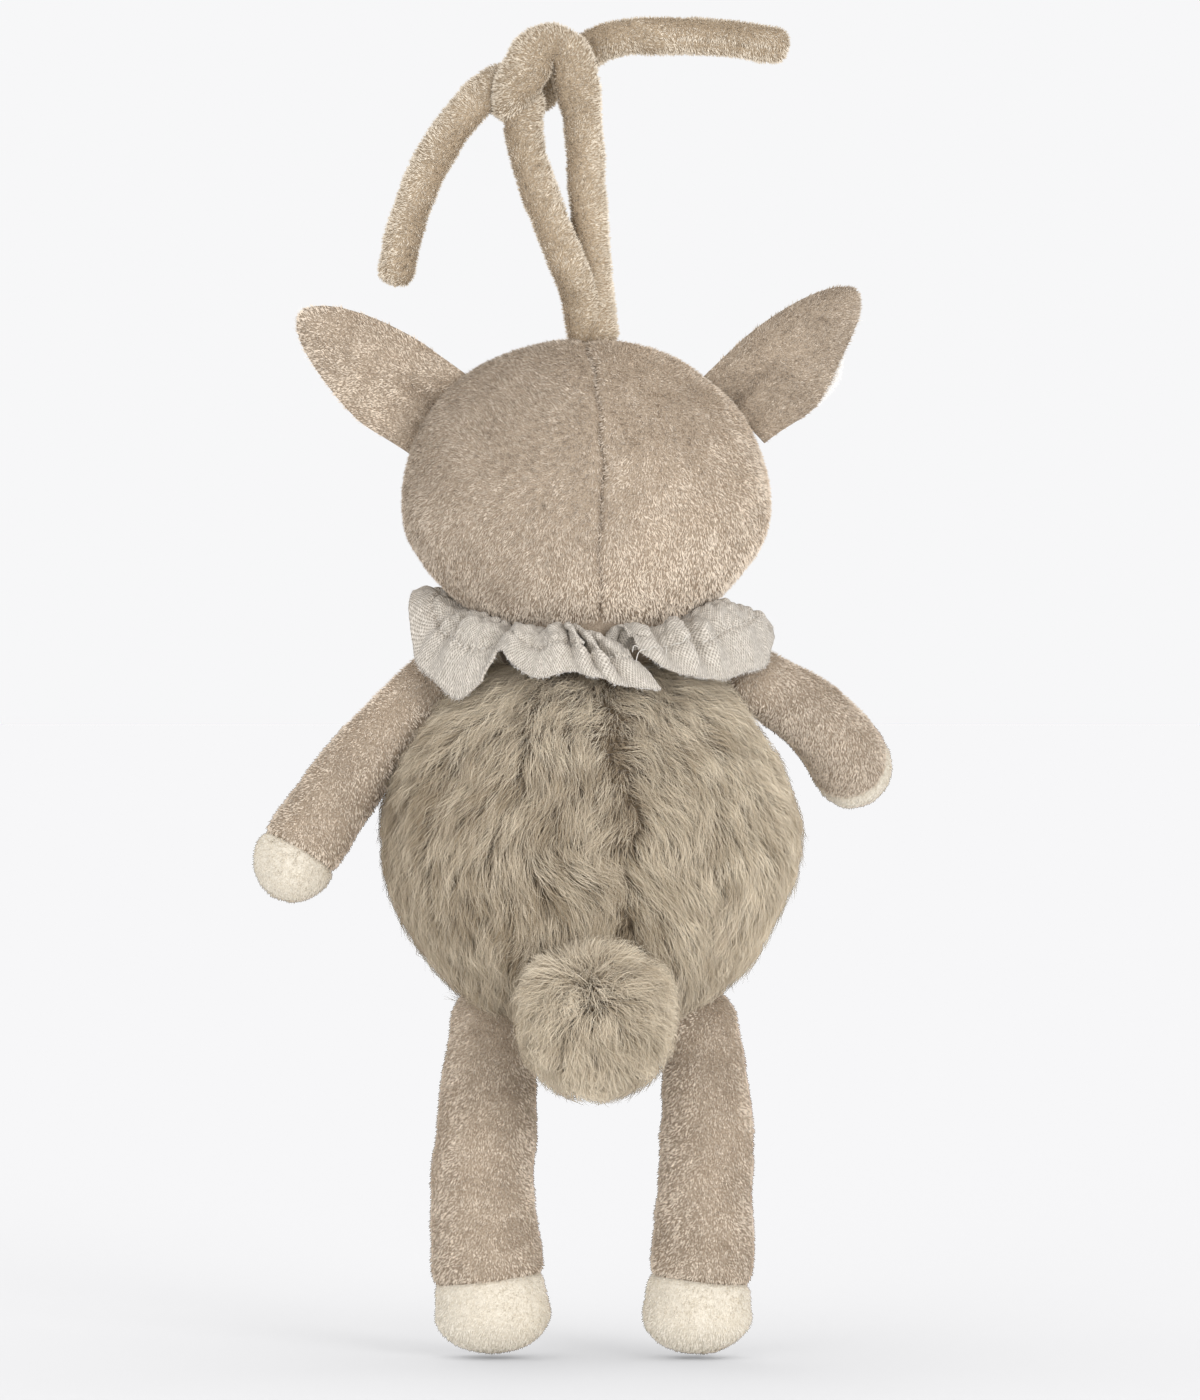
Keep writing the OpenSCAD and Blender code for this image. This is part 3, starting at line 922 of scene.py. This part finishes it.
def make_torso():
    """Three sewn panels of long pile. The front's hair is in two pieces."""
    panels = {
        "torso_back_left": (0, 104, ["torso_back_left"]),
        "torso_back_right": (-104, 0, ["torso_back_right"]),
        "torso_front": (104, 256, ["torso_front", "torso_filling"]),
    }
    for seed, (name, (start, end, cad)) in enumerate(panels.items()):
        patch = torso_patch(start, end)
        cloth = patch.mesh(name + "_cloth", fur_back, thick=1.5)
        stuff(cloth, 0.85, "torso", "long_pile", *cad)
        halves = {"": None}
        if name == "torso_front":
            halves = {"_left": lambda p: p[..., 0] > 0, "_right": lambda p: p[..., 0] <= 0}
        for k, (half, cut) in enumerate(halves.items()):
            hair(name + half + "_hair", patch, torso_comb, torso_room, "torso",
                 300 + 10 * seed + 40 * k, per_mm2=4.1, length=10.2, rise=5.2, cut=cut)
    points, _ = globe(vec(0, 0, NECK_Z), np.full(3, NECK_R - 1.2), *dome(64, 40, 2, 118))
    neck = Patch(points, closed=True).mesh("neck_cloth", taupe_back, thick=1.0)
    stuff(neck, 0.8, "torso", "velour")


# ---- tail

TAIL_X = -1.6
TAIL_SEAT = vec(32.5, 106.5)
TAIL_R = 20.5


def make_tail():
    """A pompon that faces down and back; its hair spreads from a whorl near its top."""
    seat = vec(TAIL_X, *TAIL_SEAT)
    axis = unit(vec(0.0, 1.0, -1.0))
    up = vec(1.0, 0.0, 0.0)
    side = np.cross(axis, up)
    mid = seat + axis * (1.4 + TAIL_R - 7)
    ball_r = TAIL_R - 5.5
    azimuth, polar = (angle[..., None] for angle in dome(96, 50, 2, 128))
    ring = np.cos(azimuth) * up + np.sin(azimuth) * side
    way = np.cos(polar) * axis + np.sin(polar) * ring
    patch = Patch(mid + way * ball_r, closed=True, flip=True)
    cloth = patch.mesh("tail_cloth", fur_back, thick=1.2)
    stuff(cloth, 0.8, "tail", "long_pile", "tail_cover", "tail_filling")
    whorl = mid + unit(vec(0.10, 0.75, 0.80)) * ball_r

    def comb(root, normal):
        flow = unit(root - whorl)
        flow[:, 2] -= 0.35
        near = bell(np.linalg.norm(root - whorl, axis=-1), 6)
        tousle = 0.6 * waves(root, 7, 385) + 2.6 * near * waves(root, 1.1, 386)
        flow = turned(in_surface(flow, normal), normal, tousle)
        return flow * (1 - 0.15 * near)[:, None]

    def room(root):
        crown = bell(unit(root - mid)[:, 2] - 0.8, 0.35)
        return 0.5 + 0.5 * ramp(np.linalg.norm(root - seat, axis=-1), 8, 20) + 0.4 * crown

    hair("tail_hair", patch, comb, room, "tail", 380, per_mm2=9.6, length=8.0, rise=6.6,
         spacing=3.8, tight=0.36, spread=0.55, tone_at=lambda root: np.full(len(root), 0.62))


# ---- limbs

def sweep(path, radii, sides, first_side=(0.0, 1.0, 0.0)):
    """Rings round a path: (rings, sides, 3). They turn as little as they can."""
    side = np.array(first_side)
    turn = full_turn(sides)[:, None]
    rows = []
    for centre, ahead, radius in zip(path, unit(np.gradient(path, axis=0)), radii):
        side = unit(side - ahead * (side @ ahead))
        ring = np.cos(turn) * side + np.sin(turn) * np.cross(ahead, side)
        rows.append(centre + ring * np.reshape(radius, (-1, 1)))
    return np.array(rows)


def limb_patch(route, profile, start, end, seed, seam):
    """Part of a stuffed limb between two distances along it, tucked in at its seams."""
    sides = 64
    route = np.array(route, float)
    along = np.linspace(start, end, max(int((end - start) / 0.8), 12))
    path = np.stack([between(along, list(zip(distances(route), axis))) for axis in route.T], 1)
    aside = np.abs(full_turn(sides) - np.pi * 0.5)
    radii = profile(along)[:, None]
    radii = radii - 0.7 * bell(np.minimum(aside, 2 * np.pi - aside) * radii, 0.9)
    near = along[:, None] - seam
    points = sweep(path, radii - 1.0 * bell(near, 0.9) - 0.3 * bell(near, 3), sides)
    swell = 0.35 * waves(points, 17, seed) + 0.12 * waves(points, 6, seed + 1)
    return Patch(points + unit(points - path[:, None, :]) * swell[..., None], closed=True)


def limb(name, path, profile, seam, total, seed, tones, cads):
    """A velour sleeve and its pale hoof, sewn together round the limb."""
    parts = (("sleeve", 0.3, seam, taupe_back, taupe_pile, "velour", cads[0:1] + cads[2:], 1.1),
             ("hoof", seam, total, cream_back, cream_pile, "cream_velour", cads[1:2], 0.95))
    for k, (part, start, end, back, pile, slot, nodes, length) in enumerate(parts):
        patch = limb_patch(path, profile, start, end, seed + 5 * k, seam)
        cloth = patch.mesh(f"{name}_{part}_cloth", back, capped=True)
        stuff(cloth, 0.75, name, slot, *(f"{name}_{node}" for node in nodes))
        velour(f"{name}_{part}_pile", name, slot, patch, pile, combed_down,
               even_tone(tones[k]), seed + 20 + 5 * k, length=length, streak_shade_and_highlight=0.20)


def capsule(top_r, foot_r, length, foot_h):
    """Radius along a limb: a round top, a taper, and a blunt round foot."""
    def profile(along):
        s = along - top_r
        top = np.sqrt(np.clip(1 - (np.minimum(s, 0) / top_r) ** 2, 0.0, 1))
        foot = np.sqrt(np.clip(1 - (np.maximum(s - length + foot_h, 0) / foot_h) ** 2, 0.0, 1))
        taper = top_r + (foot_r - top_r) * np.clip(s / (length - foot_h), 0, 1)
        return np.maximum((taper - PILE_DEPTH) * top * foot, 0.15)
    return profile


ARM_FOOT_R = 12.0
ARM_HOOF = 15.0
ARMS = {
    # Sleeve and hoof tones. The left hoof's 0.0 is painted shade: the same cream as the right hoof,
    # darkened where it turns from the light.
    "left": dict(length=75.5, swing=-8.0, seed=500, tones=(0.92, 0.0),
                 bow=[(-10, -1.3), (0, 0), (19, 2.3), (38, 3.2), (57, 2.3), (76, 0)]),
    "right": dict(length=78.3, swing=62.5, seed=540, tones=(0.70, 0.50),
                  bow=[(-10, 1.0), (0, 2.0), (20, 5.2), (37, 5.9), (52, 4.2), (67, 1.7), (79, 1.2)]),
}
LEGS = {
    "left": dict(foot_r=16.7, top_r=11.8, thigh=1.1, seed=600,
                 line=[(27.0, 104.6), (27.6, 92), (28.6, 72), (30.2, 46), (29.3, 30),
                       (27.5, 13), (27.2, 0.5)]),
    "right": dict(foot_r=15.6, top_r=11.2, thigh=0.5, seed=640,
                  line=[(-29.5, 103.8), (-30.6, 92), (-32.4, 72), (-32.2, 46), (-31.5, 30),
                        (-29.9, 13), (-29.6, 0.5)]),
}
LEG_HOOF = 20.5


def make_arms():
    """Each arm leans out from its shoulder and is swung forwards, as it was sewn. Its
    bow is a list of (distance from the shoulder, how far it stands outwards)."""
    for side, arm in ARMS.items():
        x, z, sign, yaw = SHOULDERS[side]
        swing, yaw = math.radians(arm["swing"]), math.radians(yaw)

        def placed(out, up):
            fore, high = up * math.sin(swing), up * math.cos(swing)
            return vec(
                out * math.cos(yaw) - fore * math.sin(yaw),
                out * math.sin(yaw) + fore * math.cos(yaw),
                high,
            )

        ahead = placed(sign * math.sin(ARM_LEAN), -math.cos(ARM_LEAN))
        outward = placed(sign * math.cos(ARM_LEAN), math.sin(ARM_LEAN))
        length = arm["length"] - PILE_DEPTH
        steps = vec(-ARM_TOP_R, 0, 14, 28, 42, 56, 67, length)
        bow = between(steps, arm["bow"])
        path = vec(x, 0.0, z) + steps[:, None] * ahead + bow[:, None] * outward
        profile = capsule(ARM_TOP_R, ARM_FOOT_R, length, ARM_FOOT_R)
        limb(f"arm_{side}", path, profile, ARM_TOP_R + arm["length"] - ARM_HOOF,
             length + ARM_TOP_R - 0.05, arm["seed"], arm["tones"], ["sleeve", "hoof", "filling"])


def make_legs():
    """Each leg's line runs from the round top in the hip to the sole."""
    for side, leg in LEGS.items():
        top_r, run = leg["top_r"], HIP_Z - 0.5
        total = top_r + run - 0.05
        straight = capsule(top_r - 0.1, leg["foot_r"], run + 0.1, 11.0)

        def profile(along):
            return straight(along) + leg["thigh"] * bell(along - top_r - 20, 19)

        path = [(x, 0.0, z) for x, z in leg["line"]]
        limb(f"leg_{side}", path, profile, total - LEG_HOOF, total, leg["seed"],
             (0.84, 0.58), ["cover", "hoof", "filling"])


# ---- ears

EARS = {
    "left": dict(base=(46.0, 266.6), angle=36.0, side=1, length=43.5, tone=0.95, wide=1.0,
                 belly=0.08),
    "right": dict(base=(-43.6, 268.6), angle=44.0, side=-1, length=43.1, tone=0.43, wide=0.92,
                  belly=0.24),
}
EAR_TUCK = 5.0  # how far an ear goes into the head's seam


def ear_half_width(t, length):
    """Half an ear's width along it: a leaf with a round tip."""
    left = np.clip(1 - (length - t) / 34.0, 0, 1)
    return np.maximum(13.6 * np.sqrt(1 - left ** 1.6), 0.1)


def make_ear_panel(side, layer, sign):
    """One cloth panel of an ear, cupped forwards, with a pleat at the sewn edge."""
    ear = EARS[side]
    turn, left, wide, tip = math.radians(ear["angle"]), ear["side"], ear["wide"], ear["length"]
    base = vec(ear["base"][0], 0.0, ear["base"][1])
    out = vec(left * math.cos(turn), 0.0, math.sin(turn))
    across = vec(-left * math.sin(turn), 0.0, math.cos(turn))
    rows, cols = 70, 44
    t = tip - 0.05 - (tip + EAR_TUCK) * (1 - np.linspace(0, 1, rows) ** 0.8)
    tt, ss = np.meshgrid(t, np.sin(np.linspace(-np.pi / 2, np.pi / 2, cols)), indexing="ij")
    plush = layer == "back"
    fringed = side == "right" and not plush
    half = ear_half_width(t, tip) * wide
    if not plush:
        half = np.maximum(half - 0.5, 0.05)
    width = half[:, None] * ss * (1 + ear["belly"] * bell(tt - 13, 12) * ramp(-ss, 0, 0.8))
    swell = np.sqrt(np.clip(1 - ss ** 2, 0, 1))
    cup = (2.6 + 9 * (1 - wide)) * ss ** 2 * ramp(tt, -2, 12)
    pleat = -3.0 * bell(width - 1.5, 2.2) * (1 - ramp(tt, 1, 16)) * swell
    crease = -0.7 * bell(width + 5.5 - 0.25 * tt, 1.6) * (1 - ramp(tt, 6, 22)) * swell
    gather = 0.5 * np.cos(ss * 9) * (1 - ramp(tt, 0, 10)) * swell
    thin = 0.35 + 0.65 * ramp(tt, -4, 6)
    y = 2.1 * swell * thin * sign + pleat + crease + gather - cup
    backwards = vec(0.0, 1.0, 0.0)
    points = base + out * tt[..., None] + across * width[..., None]
    points = points + backwards * y[..., None]
    points += 0.3 * waves(points, 13, 700 + left)[..., None] * backwards
    patch = Patch(points, flip=left * sign < 0)
    name, body = f"ear_{side}_{layer}", f"ear_{side}"

    def inside(points):
        far = (points - base) @ out
        edge = ear_half_width(far, tip) * wide - np.abs((points - base) @ across)
        return ramp(edge, 0.3, 1.6) * ramp(far, 1, 4)

    ground, pile, slot, length, dense, where = (
        (taupe_back, taupe_pile, "velour", 1.1, 4.8, None) if plush
        else (cream_back, lining_pile, "cream_velour", 2.8, 4.0, inside)
    )
    wear(patch.mesh(name + "_cloth", ground, thick=0.5), body, slot, name)

    def comb(root, normal, down, across_way):
        low = 1.8 * bell((root - base) @ out - 21, 9)[:, None] if fringed else 0.0
        return out * 0.8 - across * (0.35 + low)

    def tone(root, normal):
        return ear["tone"] + 0.14 * waves(root, 26, 730 + left)

    velour(name + "_pile", body, slot, patch, pile, comb, tone, 720 + sign + left * 5,
           per_mm2=dense, length=length, grain=(0.55, 1.0, 0.8), streak_shade_and_highlight=0.26, where=where)
    if fringed:
        make_ear_fringe(patch, out, across)


def make_ears():
    """Two cloth panels each: a plush back and a pale lining."""
    for side in EARS:
        make_ear_panel(side, "back", 1)
        make_ear_panel(side, "lining", -1)


def make_ear_fringe(patch, out, across):
    """The lining's pale pile, where it shows past the right ear's lower edge."""
    rng = np.random.default_rng(760)
    count = 900
    share = rng.uniform(0.26, 0.66, count)
    row = (share * len(patch.points)).astype(int)
    root = patch.points[row, 1] + rng.normal(0, 0.25, (count, 3))
    way = unit(0.4 * out - across + rng.normal(0, 0.22, (count, 3)))
    reach = (rng.uniform(1.4, 2.9, count) * bell(share - 0.47, 0.15))[:, None]
    droop = rng.normal(0, 0.18, (count, 3)) - vec(0.0, 0.0, 0.25)
    facing = unit(np.tile([0.0, 1.0, 0.0], (count, 1)) + rng.normal(0, 0.3, (count, 3)))
    piece = strands("ear_right_fringe", fibres(root, way, reach, droop), facing,
                    rng.uniform(0.09, 0.16, count), rng.uniform(0.6, 1.0, count), lining_pile, 0.6)
    wear(piece, "ear_right", "cream_velour")


# ---- ties

TIES = {
    "tie_left": [
        (-6.4, 0, -54.4), (-5, 1.5, -46), (-1.8, 3.2, -37), (2.8, 2.5, -25.5), (6, 1, -16.5),
        (8.8, 0, -8.5), (10.5, 0, -1.5), (10.7, 0, 4), (10.6, 0, 9), (12.4, 0.2, 13),
        (16.5, 0.6, 14.6), (21, 1, 12.4), (25.6, 1, 8), (30.8, 1, 1.4), (34.8, 1, -4.5),
        (39.2, 0.5, -13), (42.3, 0, -21), (44.8, 0, -29.5), (46.4, 0, -37.5),
    ],
    "tie_right": [
        (-10.2, 0, -54.4), (-9.4, -1.8, -46), (-8.7, -3, -37), (-7.8, -2.5, -27), (-7.2, -1, -16),
        (-6.5, 0, -5), (-5.6, 1, 7), (-4.8, 3, 15), (-3.2, 5, 21.5), (1.8, 7, 25),
        (7, 9, 24.2), (11, 8.6, 18.2), (13.8, 6, 12.5), (15, 0, 9), (12, -6.5, 10),
        (6.5, -9, 13), (0.5, -9, 17.5), (-4.5, -7.5, 22.2), (-10.5, -4.5, 25.8), (-17, -1.5, 27.4),
        (-26, 0, 27.9), (-38.5, 0, 27.7), (-49, 0, 26.8), (-58.8, 0, 25.3),
    ],
}
TIE_D = 10.0


def smooth_route(route, steps):
    """The Catmull-Rom curve through a route's points."""
    p = np.array(route, float)
    p = np.concatenate([p[:1], p, p[-1:]])
    t = np.arange(steps)[:, None] / steps
    rows = []
    for a, b, c, d in zip(p, p[1:], p[2:], p[3:]):
        square, cube = 2 * a - 5 * b + 4 * c - d, 3 * b - a - 3 * c + d
        rows.append(0.5 * (2 * b + (c - a) * t + square * t ** 2 + cube * t ** 3))
    return np.concatenate([*rows, p[-1:]])


KNOT = vec(5.5, 0.0, 17.0) - SHIFT


def tie_patch(name, path, seed):
    """A stuffed tube round a path, pressed flat where the knot pulls it tight. It goes
    a little way into the head, and its free end is round."""
    radius, sides = TIE_D / 2 - 0.1, 44
    first, last = unit(path[1] - path[0]), unit(path[-1] - path[-2])
    sunk = path[0] - first * vec(5.0, 4.0, 2.0)[:, None]
    tip = path[-1] + last * vec(1.6, 3.0, 3.9, 4.3)[:, None]
    line = np.concatenate([sunk, path, tip])
    share = np.concatenate([[0.3, 0.8, 1.0], np.ones(len(path)), [0.98, 0.86, 0.6, 0.12]])
    radii = (radius * share)[:, None]
    seam = np.abs(full_turn(sides) - 3.0) * radius
    full = radii - 0.5 * bell(seam, 0.8) * (radii > 1)
    centre = line[:, None, :]
    off = sweep(line, full, sides) - centre
    tight = bell(np.linalg.norm(line - KNOT, axis=1), 13)[:, None, None]
    off = off * (1 + tight * vec(0.14, -0.10, 0.14))
    points = centre + off
    swell = 0.26 * waves(points, 12, 800 + seed) + 0.12 * waves(points, 4.5, 810 + seed)
    points = points + unit(off) * swell[..., None]
    if name == "tie_right":
        x, _, z = np.moveaxis(points + SHIFT, -1, 0)
        pinch_x, pinch_z = 2.4, 15.5
        pinch = bell(np.hypot(x - pinch_x, (z - pinch_z) * 0.75), 5.5)
        points[..., 0] += (pinch_x - x) * pinch
        parting = bell(off[..., 2] / radius + 0.38, 0.12) * ramp(off[..., 1], 0, 1)
        points -= unit(off) * 0.8 * (parting * ramp(-x, 20, 30))[..., None]
    return Patch(points, closed=True)


def make_ties():
    """Two stuffed velour ties, sewn in at the top of the head and knotted."""
    def comb(root, normal, down, across):
        return across * 1.0 + down * 0.45

    for seed, (name, route) in enumerate(TIES.items()):
        def tone(root, normal):
            return 0.66 + 0.12 * waves(root, 16, 850 + seed)

        path = smooth_route(route, 6) - SHIFT
        patch = tie_patch(name, path, seed)
        tube = patch.mesh(name + "_cloth", tie_back, capped=True)
        wear(tube, "ties", "tie_velour", name)
        fuzz = velour(name + "_pile", "ties", "tie_velour", patch, tie_pile, comb, tone,
                      830 + 10 * seed, per_mm2=5.0, length=1.15, grain=(0.6, 1.0, 0.8),
                      streak_shade_and_highlight=0.27)


# ---- collar

# (angle from the centre back to the toy's left, radius of the hem, its height, height
# of the crest)
COLLAR_KEYS = [
    (-25, 46.0, 186.6, 201.0), (-12, 46.0, 187.8, 202.5), (-1.5, 45.0, 190.2, 204.0),
    (9, 44.0, 191.6, 205.5), (19, 45.0, 189.8, 204.0), (28, 44.0, 193.5, 205.0),
    (36, 42.5, 197.5, 206.5), (44, 43.0, 189.0, 206.0), (51, 45.0, 184.5, 206.5),
    (64, 48.0, 189.5, 209.0), (76, 50.0, 196.0, 210.0), (86, 50.5, 211.0, 212.3),
    (97, 48.0, 213.0, 212.8), (107, 46.0, 203.0, 210.0), (118, 46.0, 191.0, 207.0),
    (129, 45.0, 196.5, 206.5), (140, 45.5, 188.5, 205.0), (152, 44.5, 194.5, 205.0),
    (164, 46.0, 186.5, 204.0), (177, 44.5, 193.0, 204.5), (189, 46.0, 187.0, 204.0),
    (201, 44.5, 194.0, 205.0), (213, 45.5, 188.0, 205.0), (225, 45.0, 195.5, 206.0),
    (237, 46.5, 190.0, 207.0), (248, 47.0, 200.0, 210.0), (259, 49.0, 205.0, 209.5),
    (268, 50.8, 203.5, 209.5), (277, 51.0, 199.5, 210.5), (285, 50.3, 193.5, 213.5),
    (296, 48.5, 191.8, 212.5), (308, 47.0, 189.6, 207.0), (320, 46.5, 190.2, 205.5),
    (332, 45.8, 192.2, 205.0), (341, 43.5, 197.0, 206.0),
]
HEM_AT = 0.76  # the turned hem's seam, as a share of the strip's width
STRIP = (0.385, 0.030)  # the flat strip, in metres


def collar_points(tt, aa):
    """The ruffle, from its gathered seam (tt 0) to its hem (1), at the angles aa."""
    first, last = COLLAR_KEYS[0][0], COLLAR_KEYS[-1][0]
    hem_r, hem_z, crest_z = (
        between(aa, [(k[0], k[i]) for k in COLLAR_KEYS]) for i in (1, 2, 3)
    )
    near_start = 1 - ramp(aa, first, first + 50)
    near_end = ramp(aa, last - 40, last)
    angle = np.radians(aa + (1 - tt) * (30 * near_start + 11 * near_end))
    gather_r, gather_z = 27.6, 198.0
    corner = bell(aa - 289, 10)
    crest_r = 35.0 + 0.12 * (hem_r - 44) + 6.5 * corner
    w0, w1, w2 = (1 - tt) ** 2, 2 * tt * (1 - tt), tt ** 2
    lift = crest_z + (crest_z - (gather_z + hem_z) / 2) * 0.75
    turn = np.radians(aa)
    leaning = turn + 0.10 * (tt - 0.5) * np.sin(turn * 3 + 0.5)
    folds = np.sin(leaning * 23 + 2.2 * np.sin(turn * 4.3) + 1.1 * np.sin(turn * 9.1 + 1))
    folds *= 0.75 + 0.45 * np.sin(turn * 6.7 + 2)
    fine = np.sin(turn * 51 + 2.4 * np.sin(turn * 7.7) + 1.3 * np.sin(turn * 13.3 + 2))
    belly = np.sin(np.pi * np.clip(tt, 0, 1)) ** 0.8
    gathers = (1 - ramp(tt, 0.1, 0.75)) * ramp(tt, 0, 0.08)
    r = w0 * gather_r + w1 * crest_r + w2 * hem_r + 2.9 * belly * folds + 1.1 * gathers * fine
    z = w0 * gather_z + w1 * lift + w2 * hem_z + 1.3 * belly * folds - 0.8 * gathers * fine
    return np.stack([r * np.sin(angle), r * np.cos(angle), z], -1)


def make_collar():
    """A gathered strip of double gauze, crinkled, with a hem turned and sewn."""
    cols, rows = 700, 60
    t = np.linspace(0, 1, rows)
    place = np.linspace(COLLAR_KEYS[0][0], COLLAR_KEYS[-1][0], cols)
    tt, aa = np.meshgrid(t, place, indexing="ij")
    points = collar_points(tt, aa)
    crinkle = 0.42 * waves(points, 3.6, 901) + 0.5 * waves(points, 8, 902)
    hem = ramp(tt, HEM_AT, HEM_AT + 0.02)
    tuck = -0.9 * bell(tt - HEM_AT, 0.035) * (1 + 0.5 * np.sin(aa * 2.4))
    proud = crinkle * ramp(tt, 0.0, 0.2) * (1 - 0.45 * hem) + 0.5 * hem + tuck
    patch = Patch(points + Patch(points).normal * proud[..., None])
    sheet = patch.mesh("collar_ruffle_gauze", gauze)
    uv = sheet.data.uv_layers.new(name="weave")
    share = (aa - place[0]) / (place[-1] - place[0])
    coords = np.stack([share * STRIP[0], tt * STRIP[1]], -1).reshape(-1, 2)
    index = np.empty(len(sheet.data.loops), np.int32)
    sheet.data.loops.foreach_get("vertex_index", index)
    uv.data.foreach_set("uv", coords[index].astype(np.float32).ravel())
    cloth = sheet.modifiers.new("Cloth thickness", "SOLIDIFY")
    cloth.thickness = 0.8 * MM
    cloth.offset = 0
    wear(sheet, "neck", "muslin", "collar_ruffle", "collar_gathering_thread")
    trims = [make_hem_stitches(patch, t), make_frayed_edge(patch), make_loose_threads(patch)]


def make_hem_stitches(patch, t):
    """The seam that holds the turned hem: short stitches in a row along the strip."""
    row = int(np.searchsorted(t, HEM_AT))
    line = patch.points[row] + patch.normal[row] * 0.32
    pitch, stitch = 2.9, 2.0
    runs = []
    for start in np.arange(1.0, distances(line)[-1] - stitch, pitch):
        runs.append(at_distances(line, start + stitch * np.linspace(0, 1, 6)))
    piece = threads("collar_hem_stitches", runs, 0.24, white_thread, sides=6)
    return wear(piece, "neck", "muslin")


def make_frayed_edge(patch):
    """Fine fibres that stand off the gauze, most of them along its cut edge."""
    rng = np.random.default_rng(930)
    rows, cols = patch.points.shape[:2]
    count = 5200
    row = np.where(rng.random(count) < 0.45, rows - 1, rng.integers(4, rows, count))
    col = rng.integers(2, cols - 2, count)
    root, normal = patch.points[row, col], patch.normal[row, col]
    side = np.where(rng.random(count) < 0.75, 1.0, -1.0)[:, None]
    way = unit(normal * side + rng.normal(0, 0.8, (count, 3)) + patch.down[row, col] * 0.6)
    reach = rng.uniform(0.5, 1.3, count)[:, None]
    bend = rng.normal(0, 0.25, (count, 3))
    width = rng.uniform(0.05, 0.10, count)
    piece = strands("collar_fibres", fibres(root, way, reach, bend), unit(normal + 0.01), width,
                    rng.uniform(0.4, 1.0, count), lining_pile, 0.5)
    return wear(piece, "neck", "muslin")


def make_loose_threads(patch):
    """A few curled ends of thread where the strip's two ends meet."""
    rng = np.random.default_rng(940)
    t = np.linspace(0, 1, 12)[:, None]
    runs = []
    for k in range(7):
        place = (-3 - 2 * k, -1 - 6 * k)
        out = patch.normal[place]
        way = unit(vec(rng.uniform(-0.6, 1.0), 0.3, rng.uniform(-0.9, 0.3)))
        reach = rng.uniform(2.5, 5.5)
        curl = np.cross(way, out) * rng.uniform(0.6, 1.4) * np.sin(t * rng.uniform(3, 6))
        run = patch.points[place] + out * 0.5 + way * reach * t + curl
        runs.append(run + out * 0.9 * np.sin(np.pi * t))
    piece = threads("collar_loose_threads", runs, 0.13, white_thread, sides=6)
    return wear(piece, "neck", "muslin")


make_camera()
make_stage()
make_ties()
make_head()
make_muzzle()
make_nose()
make_eyes()
make_torso()
make_tail()
make_arms()
make_legs()
make_ears()
make_collar()
